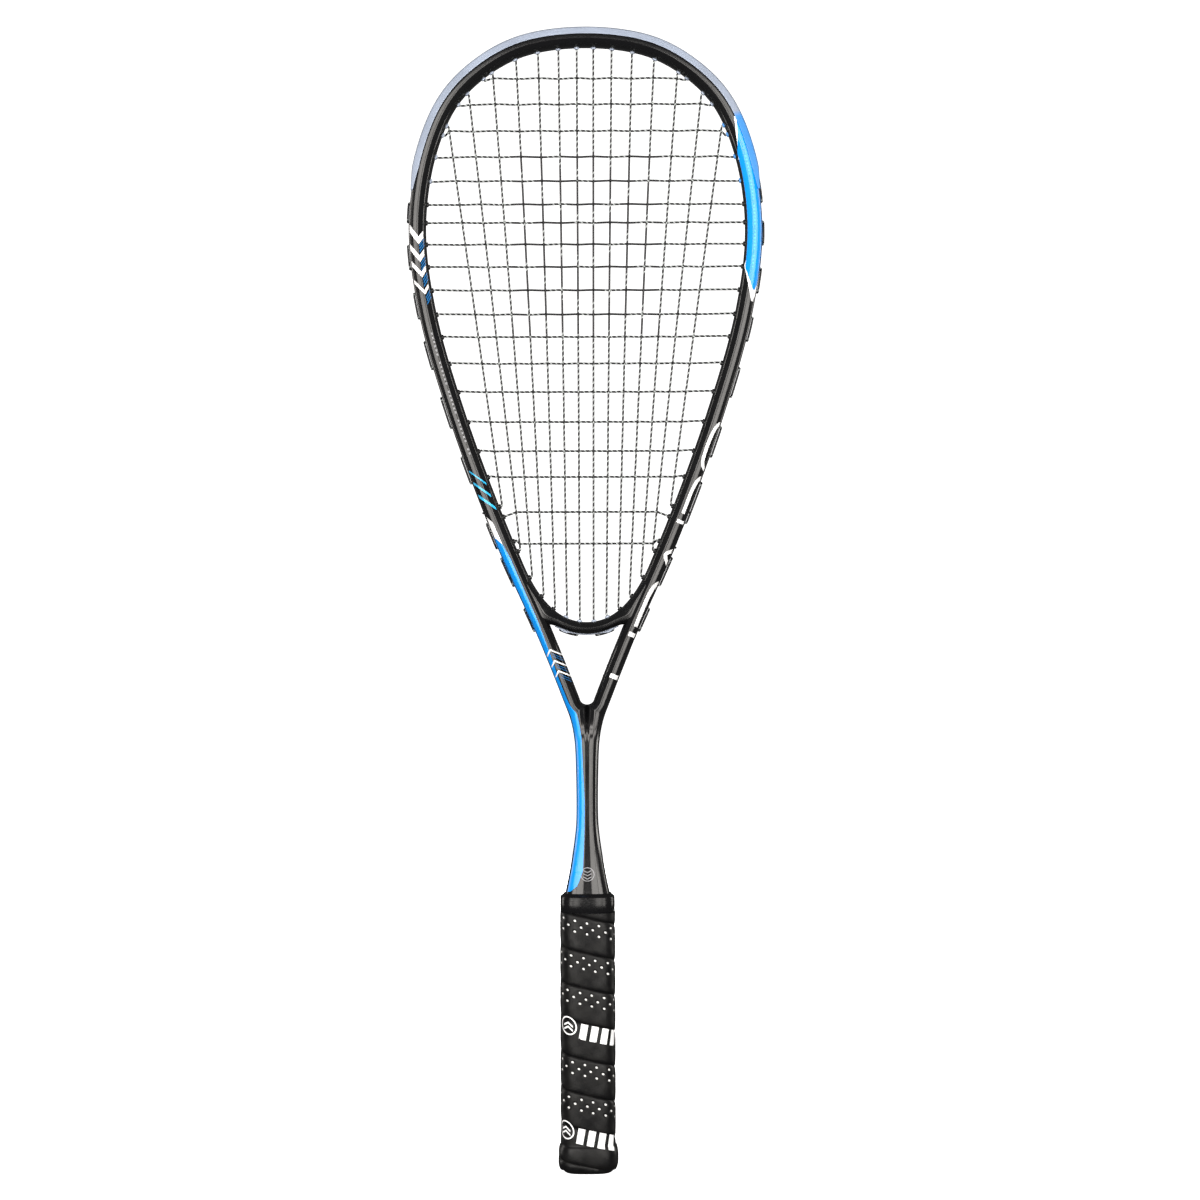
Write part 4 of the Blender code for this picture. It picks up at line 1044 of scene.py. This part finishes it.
    def _throat_strip(self) -> None:
        """The clear strip under the bridge, thicker where the strings turn."""
        bridge = self.pattern.bridge
        t = np.linspace(0.66, 1.0, 60)
        outer, outward = sample(t, bridge.t, bridge.outer), sample(t, bridge.t, bridge.outward)
        lobes = 0.9 * np.exp(-((np.abs(outer[:, 0]) - 12.8) / 2.6) ** 2) * np.clip((t - 0.66) / 0.03, 0, 1)
        half = self.carried(outer, outward, self.strip_ring(len(t), self.gap - self.strip_thickness, 0.3 + lobes))
        half[-1, :, 0] = 0
        holes = [hole for hole in self.pattern.holes if hole.place == "bridge"]
        sheets = [Sheet(np.concatenate([half, mirrored(half[-2::-1])]), cap_ends=True)]
        sheets += self.barrels(holes, False) + self.barrels(holes, True)
        piece = build_piece("clear_throat_strip", sheets, Finish.SMOKE, sharp=60)
        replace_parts(piece, "throat_grommet_strip")


# ---------------------------------------------------------------- handle

@dataclass
class Handle:
    """Foam core, butt cap, wrapped tape and finishing band, on a section between an ellipse and a rectangle."""

    tube: FrameTube
    length: float = 166.0
    core_width: float = 29.2
    core_depth: float = 25.0
    gap: float = 0.3
    cap_plate: float = 3.0
    cap_skirt: float = 1.2
    cap_height: float = 16.0
    cap_round: float = 3.2
    tape_width: float = 25.0
    tape_pitch: float = 21.15
    tape_thickness: float = 1.5
    tape_skive: float = 0.5
    tape_start: float = 2.5
    tape_lead: float = 0.945
    band_height: float = 11.6
    band_lap: float = 1.4
    facets: int = 120
    crests: tuple[float, ...] = (85.2, 22.6)

    def around(self, angle: Array, offset: Array | float) -> Array:
        """Points (x, y) at angles round the section, that far outside the foam."""
        half_width, half_depth = self.core_width / 2 + offset, self.core_depth / 2 + offset
        cos, sin = np.cos(angle), np.sin(angle)
        reach = (np.abs(cos / half_width) ** 3 + np.abs(sin / half_depth) ** 3) ** (-1 / 3)
        return np.stack([reach * cos, reach * sin], axis=-1)

    @property
    def cap_outside(self) -> Array:
        """Heights and offsets of the cap's outside."""
        wall = self.gap + self.cap_skirt
        return np.array([(0.0, wall - self.cap_round), (1.0, wall - 0.6 * self.cap_round),
                         (3.0, wall - 0.22 * self.cap_round), (6.0, wall), (self.cap_height - 4.0, wall),
                         (self.cap_height, wall - 0.6)])

    def under_tape(self, z: Array) -> Array:
        """Offset of the surface under the tape at each height."""
        bed = np.vstack([self.cap_outside, [(self.cap_height + 1.0, 0.0)]])
        smooth = soften(bed, rounds=3, cut=0.2)
        return np.interp(np.maximum(z, self.tape_start), smooth[:, 0], smooth[:, 1])

    def lathe(self, profile: Array) -> Sheet:
        """A sheet round the handle through a profile of (height, offset)."""
        angle = np.linspace(0, 2 * math.pi, self.facets + 1)
        plan = self.around(angle[None], profile[:, 1:])
        z = np.broadcast_to(profile[:, :1], plan.shape[:2])
        return Sheet(np.concatenate([plan, z[..., None]], axis=-1))

    def build(self) -> None:
        """Makes the cap, the tape, its print and the band."""
        self._cap()
        self._tape()
        self._print()
        self._band()

    def _cap(self) -> None:
        """The cap: a rounded cup with a low ring round its end face."""
        wall = self.gap + self.cap_skirt
        turn = np.linspace(0, math.pi / 2, 9)
        end = np.stack([4.4 * (1 - np.sin(turn[::-1])), wall - 4.4 + 4.4 * np.cos(turn[::-1])], axis=1)
        dish = np.array([(0.9, -12.4), (0.9, -7.0), (0.7, -6.2), (0.0, -5.6), (0.0, wall - 5.2)])
        side = np.array([(8.0, wall), (self.cap_height - 4.0, wall), (self.cap_height, wall - 0.6),
                         (self.cap_height, self.gap), (self.cap_plate, self.gap), (self.cap_plate, -12.4)])
        profile = np.vstack([dish, end, side])
        piece = build_piece("moulded_butt_cap", [self.lathe(profile)], Finish.CAP, sharp=40)
        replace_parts(piece, "butt_cap")

    def _tape(self) -> None:
        """The tape: one skived strip wound up the handle, its crown rounded and its edges pressed down.

        Each section of the strip stands at one angle. From one to the next the angle turns back a little and the
        height climbs, so that each turn lies one pitch above the last.
        """
        seat, surface = 2 * self.gap + self.tape_skive, self.gap + self.tape_thickness
        skive, edge = self.gap + self.tape_skive, self.tape_pitch - 0.45
        across = np.linspace(0, 1, 34)
        crown = surface + 0.16 * np.sin(math.pi * across) - 0.5 * ((1 - across) ** 22 + across ** 22)
        outside = np.stack([across * edge, crown], axis=1)
        lap = self.tape_width - self.tape_pitch + self.gap
        profile = np.vstack([[(0.0, seat), (lap, seat), (lap + self.gap, self.gap + 0.1),
                              (self.tape_width, self.gap + 0.1), (self.tape_width, skive),
                              (self.tape_pitch - 0.1, skive)], outside[::-1], [(0.0, seat)]])
        stop = self.length - self.band_height + self.band_lap
        turns = (stop - self.tape_start + self.tape_width) / self.tape_pitch
        t = np.linspace(3 / 16, turns, int(turns * self.facets))
        angle = -2 * math.pi * t
        z = self.tape_start - self.tape_lead * self.tape_width + self.tape_pitch * t[:, None] + profile[None, :, 0]
        crease = 0.05 * np.sin(9.0 * angle)[:, None] * np.sin(2 * math.pi * profile[None, :, 0] / 9.0)
        offset = self.under_tape(z) * (profile[None, :, 1] > self.gap + 0.1) + profile[None, :, 1]
        offset = offset + crease * (profile[None, :, 1] > surface - 0.3)
        plan = self.around(angle[:, None], offset)
        length = np.abs(angle) * (self.core_width + self.core_depth) / 4
        pattern = np.stack(np.broadcast_arrays(length[:, None], profile[None, :, 0]), axis=-1).copy()
        middle = z[:, :1] + 10.2 - self.tape_pitch * (np.mod(t, 1.0)[:, None] - 0.25)
        for crest in (*self.crests, self.crests[-1] - self.tape_pitch):
            pattern[..., 0] += 2e5 * (np.abs(middle - crest) < self.tape_pitch / 2)
        piece = build_piece("leathery_grip_tape", [Sheet(np.dstack([plan, z]), pattern, cap_ends=True)],
                            Finish.GRIP, sharp=75, trim=(self.tape_start, stop))
        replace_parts(piece, "grip_tape")

    def _wrapped(self, along: Array, z: Array, lift: float) -> Array:
        """Points on the tape's outside at distances round it from the front's middle."""
        table = np.linspace(-math.pi, 0, 721)
        plan = self.around(table, self.gap + self.tape_thickness + 0.16)
        length = np.concatenate([[0], np.cumsum(np.linalg.norm(np.diff(plan, axis=0), axis=1))])
        angle = np.interp(along, length - length[360], table)
        plan = self.around(angle, self.under_tape(z) + self.gap + self.tape_thickness + 0.16 + lift)
        return np.concatenate([plan, z[..., None]], axis=-1)

    def _print(self) -> None:
        """Plain white print round two turns of the tape: an open ring with an arrowhead, then slanted bars."""
        slope, sheets = self.tape_pitch / 98.0, []
        for crest, shift in zip(self.crests, (0.0, -1.8)):
            for side in (1, -1):
                shapes = [self._ring_mark(shift - 12.0, crest + 1.4)]
                shapes += [self._bar(shift - 2.6 + 6.3 * k, crest - 0.3, 4.1, 9.4, 1.6) for k in range(4)]
                for along, z in (pair for group in shapes for pair in group):
                    points = self._wrapped(along, z - slope * along, 0.04)
                    sheets.append(Sheet(points * (side, side, 1)))
        build_piece("grip_print", sheets, Finish.WHITE)

    def _ring_mark(self, along: float, z: float) -> list[tuple[Array, Array]]:
        """A ring 11 mm across with two chevrons in it."""
        angle = np.linspace(0, 2 * math.pi, 49)[:, None]
        radius = np.linspace(4.7, 5.5, 3)[None]
        shapes = [(along + radius * np.cos(angle), z + radius * np.sin(angle))]
        u, v = np.linspace(0, 1, 6)[:, None], np.linspace(0, 1, 3)[None]
        for lift in (-1.9, 0.5):
            for side in (-1, 1):
                shapes.append((along + side * 3.0 * u + 0 * v, z + lift + 1.9 * (1 - u) - 1.1 * v))
        return shapes

    def _bar(self, along: float, z: float, width: float, height: float, slant: float) -> list[tuple[Array, Array]]:
        """A slanted bar."""
        u, v = np.linspace(-0.5, 0.5, 6)[:, None], np.linspace(-0.5, 0.5, 12)[None]
        return [(along + width * u + slant * v, z + height * v + 0 * u)]

    def _band(self) -> None:
        """The finishing band: a glossy sleeve that closes in over the top of the grip."""
        low, high = self.length - self.band_height + self.band_lap + self.gap, self.length + self.band_lap
        outside = [(low, 0.3), (low, 1.55), (low + 0.25, 1.72), (low + 5.0, 1.78), (self.length - 0.9, 1.72),
                   (self.length - 0.2, 1.3), (self.length + 0.3, 0.3), (high, -0.6)]
        reach = 0.5 * (self.core_width - self.tube.flare_width) + 0.1
        profile = np.array([*outside, (high, -reach - 1.0), (self.length - 1.0, -reach - 1.0),
                            (self.length - 1.0, 0.3), (low, 0.3)])
        piece = build_piece("glossy_finishing_band", [self.lathe(profile)], Finish.BAND, sharp=40)
        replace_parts(piece, "finishing_band")


# ---------------------------------------------------------------- graphics on the frame

@dataclass
class Graphics:
    """Painted stripes, chevrons and panels, each a skin a few hundredths of a millimetre over the tube."""

    tube: FrameTube
    lift: float = 0.05
    sheets: dict = field(default_factory=dict)

    def _add(self, finish: Finish, s: Array, across: Array, layer: int, mirror: bool = False) -> None:
        """Keeps a sheet on the tube's front for its finish, and one half a turn round on the back."""
        points = self.tube.front(*np.broadcast_arrays(s, across), self.lift * layer)
        points = mirrored(points) if mirror else points
        self.sheets.setdefault(finish, []).extend([Sheet(points), Sheet(turned_round(points))])

    def _along(self, edge: Sequence) -> tuple[Array, Array]:
        """Distances and shares of an edge given as (height, share across) pairs."""
        return np.array([self.tube.s_at_height(height) for height, _ in edge]), np.array(edge)[:, 1]

    def stripe(self, finish: Finish, near: Sequence, far: Sequence, mirror: bool = False, layer: int = 1) -> None:
        """A band down the tube between two edges.

        Args:
            finish: its finish.
            near: the edge on the outside, as (height, share across) pairs from the top down.
            far: the edge on the inside, the same.
            mirror: True for the right half.
            layer: which coat it is, counted outwards from 1.
        """
        (near_s, near_a), (far_s, far_a) = self._along(near), self._along(far)
        s = np.union1d(spread(near_s[0], near_s[-1], 1.2), near_s)
        across = np.stack([np.interp(s, near_s, near_a), np.interp(s, far_s, far_a)], axis=1)
        share = np.linspace(0, 1, 20)
        across = across[:, :1] * (1 - share) + across[:, 1:] * share
        self._add(finish, s[:, None], across, layer, mirror)

    def ribbon(self, finish: Finish, path: Sequence, thick: float, mirror: bool = False, layer: int = 1) -> None:
        """A stroke of even thickness along a smooth path of (height, share across) pairs."""
        s, share = self._along(path)
        line = smooth_curve(np.stack([s, share * self.tube.arm_width], axis=1), 8)
        ahead = unit(np.gradient(line, axis=0))
        side = np.stack([-ahead[:, 1], ahead[:, 0]], axis=1)
        place = line[:, None] + side[:, None] * thick * np.linspace(-0.5, 0.5, 5)[None, :, None]
        self._add(finish, place[..., 0], np.clip(place[..., 1] / self.tube.arm_width, 0, 1), layer, mirror)

    def chevron(self, finish: Finish, s: float, peak: float, rise: float, thick: float, layer: int = 1,
                span: tuple[float, float] = (0.0, 0.86)) -> None:
        """A chevron across the tube: its point at share peak, its arms running back up the tube by the rise.

        For each share across, the near edge lies at s less the rise times the distance from the peak.
        """
        across = np.union1d(np.linspace(*span, 24), [peak])[None]
        back = rise * np.abs(across - peak)
        along = np.linspace(0, 1, 5)[:, None]
        self._add(finish, s - back - thick * along, across, layer)

    def slash(self, finish: Finish, s: float, span: tuple[float, float], lean: float, thick: float,
              mirror: bool = False, layer: int = 1) -> None:
        """A slanted bar across the tube, the lean being how far its inner end lies up the tube."""
        across = np.linspace(*span, 14)[None]
        along = np.linspace(0, 1, 4)[:, None]
        rise = lean * (across - span[0]) / (span[1] - span[0])
        self._add(finish, s - rise - thick * along, across, layer, mirror)

    def hoop_chevrons(self) -> None:
        """White chevrons down the left of the hoop, with azure slashes beside them."""
        for apex, thick in ((557.5, 4.6), (546.2, 3.9), (536.4, 3.3), (525.6, 2.6)):
            s = self.tube.s_at_height(apex)
            self.chevron(Finish.WHITE, s + thick * 0.5, 0.6, 15.0, thick)
            for k in range(3):
                self.slash(Finish.DEEP, s + 7.6 - 1.9 * k, (0.62, 0.9), 4.2, 1.0)

    def arm_slashes(self) -> None:
        """Three cyan slashes over the blue edge, and white chevrons at the throat."""
        for height, thick in ((420.0, 1.4), (412.5, 2.0), (404.8, 2.4)):
            self.slash(Finish.CYAN, self.tube.s_at_height(height), (0.02, 0.78), -12.0, thick)
        for height in (311.0, 304.5, 298.5):
            s = self.tube.s_at_height(height)
            self.chevron(Finish.WHITE, s, 0.42, -9.5, 1.05, layer=3, span=(0.12, 1.0))
            for k in range(2):
                self.chevron(Finish.DEEP, s + 2.0 + 1.6 * k, 0.42, -9.5, 0.4, layer=2, span=(0.5, 0.95))

    def edges(self) -> None:
        """The azure edge down the left arm and shaft, and the azure panel on the right of the hoop."""
        self.stripe(Finish.AZURE, ((381.0, 0.0), (168.5, 0.0)),
                    ((381.0, 0.02), (374.6, 0.36), (366, 0.46), (331, 0.42), (313, 0.34), (295, 0.25), (281, 0.27),
                     (259, 0.56), (241, 0.64), (223, 0.76), (181, 0.74), (172, 0.5), (168.5, 0.2)), layer=2)
        self.stripe(Finish.WHITE, ((393.0, 0.0), (373.0, 0.0)), ((393.0, 0.03), (388.0, 0.32), (373.0, 0.36)))
        self.stripe(Finish.AZURE, ((631.0, 0.0), (534.0, 0.0), (527.5, 0.16)),
                    ((631.0, 0.25), (612.0, 0.86), (540.0, 0.86), (527.5, 0.28)), mirror=True, layer=3)
        self.stripe(Finish.WHITE, ((632.5, 0.2), (608.0, 0.84)), ((632.5, 0.32), (624.0, 0.58), (608.0, 0.9)),
                    mirror=True, layer=2)
        self.stripe(Finish.WHITE, ((545.0, 0.0), (529.0, 0.0), (520.5, 0.15)),
                    ((545.0, 0.86), (541.0, 0.93), (520.5, 0.24)), mirror=True, layer=2)

    def ticks(self) -> None:
        """Small print, drawn as plain rows of ticks."""
        for finish, top, count, pitch, share, mirror in ((Finish.GREY, 500.0, 30, 2.6, 0.45, False),
                                                         (Finish.CYAN, 608.0, 32, 2.2, 0.42, True)):
            start = self.tube.s_at_height(top)
            for k in (k for k in range(count) if k % 7 != 6):
                self.slash(finish, start + pitch * k, (share, share + 0.09), 0.0, pitch / 2, mirror, layer=4)

    def arm_bars(self) -> None:
        """White strokes down the outside of the right arm in place of lettering, and two cross bars below."""
        strokes = (
            ((448.2, 0.0), (446.6, 0.16), (440.5, 0.32), (425.4, 0.34), (421.8, 0.22), (419.4, 0.0)),
            ((415.9, 0.0), (414.0, 0.18), (407.5, 0.31), (400.0, 0.33), (393.0, 0.33)),
            ((372.4, 0.0), (368.6, 0.36), (367.6, 0.36), (363.0, 0.0)),
            ((352.8, 0.0), (351.0, 0.18), (345.0, 0.3), (335.0, 0.3), (325.7, 0.27)),
        )
        for path, thick in zip(strokes, (1.7, 1.7, 1.9, 2.1)):
            self.ribbon(Finish.WHITE, path, thick, mirror=True)
        for height, reach, thick in ((389.0, 0.5, 2.0), (322.0, 0.5, 2.6), (297.0, 0.6, 2.7)):
            self.slash(Finish.WHITE, self.tube.s_at_height(height), (0.0, reach), 0.0, -thick, mirror=True)

    def shaft_mark(self) -> None:
        """A small open ring with three chevrons on the shaft above the grip."""
        angle = np.linspace(0, 2 * math.pi, 49)[:, None]
        radius = np.linspace(3.7, 4.2, 3)[None]
        shapes = [(radius * np.cos(angle), 179.0 + radius * np.sin(angle))]
        u, v = np.linspace(0, 1, 8)[:, None], np.linspace(0, 1, 3)[None]
        for k in range(3):
            shapes += [(side * 2.4 * u + 0 * v, 180.4 - 1.9 * k + 1.2 * u - 0.6 * v) for side in (-1, 1)]
        for x, z in shapes:
            points = np.stack([x, -self._shaft_depth(np.abs(x), z) - self.lift, z], axis=-1)
            self.sheets.setdefault(Finish.GREY, []).extend([Sheet(points), Sheet(turned_round(points))])

    def _shaft_depth(self, x: Array, z: Array) -> Array:
        """Half the shaft's depth at a place on its front."""
        s = np.interp(z.ravel(), self.tube.outer[::-1, 1], self.tube.s[::-1])
        outer = -sample(s, self.tube.s, self.tube.outer)[:, 0]
        points = self.tube.front(s, np.clip(1 - x.ravel() / outer, 0, 1))
        return -points[:, 1].reshape(x.shape)

    def build(self) -> None:
        """Lays out every graphic and makes one piece for each colour."""
        for lay_out in (self.hoop_chevrons, self.arm_slashes, self.edges, self.ticks, self.arm_bars,
                        self.shaft_mark):
            lay_out()
        for finish, sheets in self.sheets.items():
            build_piece(f"graphics_{finish.name.lower()}", sheets, finish)


# ---------------------------------------------------------------- studio

@dataclass
class Studio:
    """Pale floor that sweeps up into a backdrop, soft boxes and the camera."""

    aim: tuple[float, float, float] = (0.008, 0.0, 0.3427)
    distance: float = 2.0
    seen_width: float = 0.7196
    roll: float = 0.0031

    def build(self) -> None:
        """Makes the camera, the floor, the world and the lights."""
        self._camera()
        self._floor()
        self._world()
        warm = (1.0, 0.965, 0.92)
        for side in (-1, 1):
            self._box(f"front_box_{side}", (side * 0.62, -1.7, 0.55), (0.7, 1.5), 17.0, warm)
            self._box(f"side_box_{side}", (side * 1.25, -1.4, 0.55), (0.4, 1.5), 12.0, warm)
            self._box(f"back_box_{side}", (side * 1.9, 1.0, 0.6), (0.5, 1.4), 10.0, warm)
        for side in (-1, 1):
            fill = self._box(f"fill_{side}", (0.0, side * 2.2, 0.9), (1.8, 1.6), 50.0, (1.0, 1.0, 1.0))
            fill.visible_glossy = False

    def _floor(self) -> None:
        """A sheet that runs level, bends up in a quarter circle behind the racket and then stands."""
        radius, back, reach = 1.2, 2.6, 3.0
        angle = np.linspace(0, math.pi / 2, 24)
        y = np.concatenate([[-reach * 1.4], back + radius * np.sin(angle), [back + radius]])
        z = np.concatenate([[0.0], radius * (1 - np.cos(angle)), [4.0]])
        x = np.linspace(-reach * 1.4, reach * 1.4, 2)
        points = np.stack(np.broadcast_arrays(x[None], y[:, None], z[:, None]), axis=-1)
        mesh = bpy.data.meshes.new("floor")
        mesh.from_pydata(points.reshape(-1, 3).tolist(), [], Sheet(points).quads().tolist())
        mesh.shade_smooth()
        sheet = NodeSheet("pale_paper")
        sheet.surface(Base_Color=(0.9, 0.9, 0.9, 1), Roughness=0.9, Emission_Color=(1, 1, 1, 1),
                      Emission_Strength=1.0)
        mesh.materials.append(sheet.material)
        floor = bpy.data.objects.new("floor", mesh)
        floor.visible_glossy = floor.visible_diffuse = False
        bpy.context.scene.collection.objects.link(floor)

    def _world(self) -> None:
        """A white surround to look at, and a dim one to be lit by."""
        world = bpy.data.worlds.new("studio")
        world.use_nodes = True
        tree = world.node_tree
        path, strength = tree.nodes.new("ShaderNodeLightPath"), tree.nodes.new("ShaderNodeMapRange")
        strength.inputs["To Min"].default_value = 0.06
        tree.links.new(path.outputs["Is Camera Ray"], strength.inputs["Value"])
        tree.links.new(strength.outputs["Result"], tree.nodes["Background"].inputs["Strength"])
        tree.nodes["Background"].inputs["Color"].default_value = (1, 1, 1, 1)
        bpy.context.scene.world = world
        bpy.context.scene.view_settings.view_transform = "Standard"

    def _box(self, name: str, place: Sequence[float], size: Sequence[float], energy: float,
             tint: tuple[float, float, float]) -> bpy.types.Object:
        """A soft box that faces the racket's middle, out of the camera's sight."""
        light = bpy.data.lights.new(name, "AREA")
        light.shape, light.size, light.size_y, light.energy, light.color = "RECTANGLE", *size, energy, tint
        box = bpy.data.objects.new(name, light)
        box.visible_camera = False
        box.location = place
        ahead = unit(np.array(self.aim) - np.array(place))
        box.rotation_euler = (math.acos(-ahead[2]), 0, math.atan2(-ahead[0], ahead[1]))
        bpy.context.scene.collection.objects.link(box)
        return box

    def _camera(self) -> None:
        """A long lens square to the strings."""
        data = bpy.data.cameras.new("camera")
        data.sensor_width = 36.0
        data.lens = 36.0 * self.distance / self.seen_width
        camera = bpy.data.objects.new("camera", data)
        camera.location = (self.aim[0], self.aim[1] - self.distance, self.aim[2])
        camera.rotation_euler = (math.pi / 2, self.roll, 0)
        bpy.context.scene.collection.objects.link(camera)
        bpy.context.scene.camera = camera


def dress(node: bpy.types.Object, finish: Finish) -> None:
    """Puts a finish on a CAD node that stays as it is."""
    node.data.materials.clear()
    node.data.materials.append(finish.material())


def main() -> None:
    """Builds the racket piece by piece."""
    logging.basicConfig(level=logging.INFO, format="%(message)s", stream=sys.stdout)
    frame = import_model()
    Studio().build()
    tube = FrameTube()
    bridge = ThroatBridge(tube)
    pattern = StringPattern(tube, bridge)
    for part in (tube, bridge, Graphics(tube), StringBed(pattern), Grommets(pattern), Handle(tube)):
        LOG.info("building %s", type(part).__name__)
        part.build()
    dress(frame["nodes"]["handle_core"], Finish.FOAM)


if __name__ == "__main__":
    main()
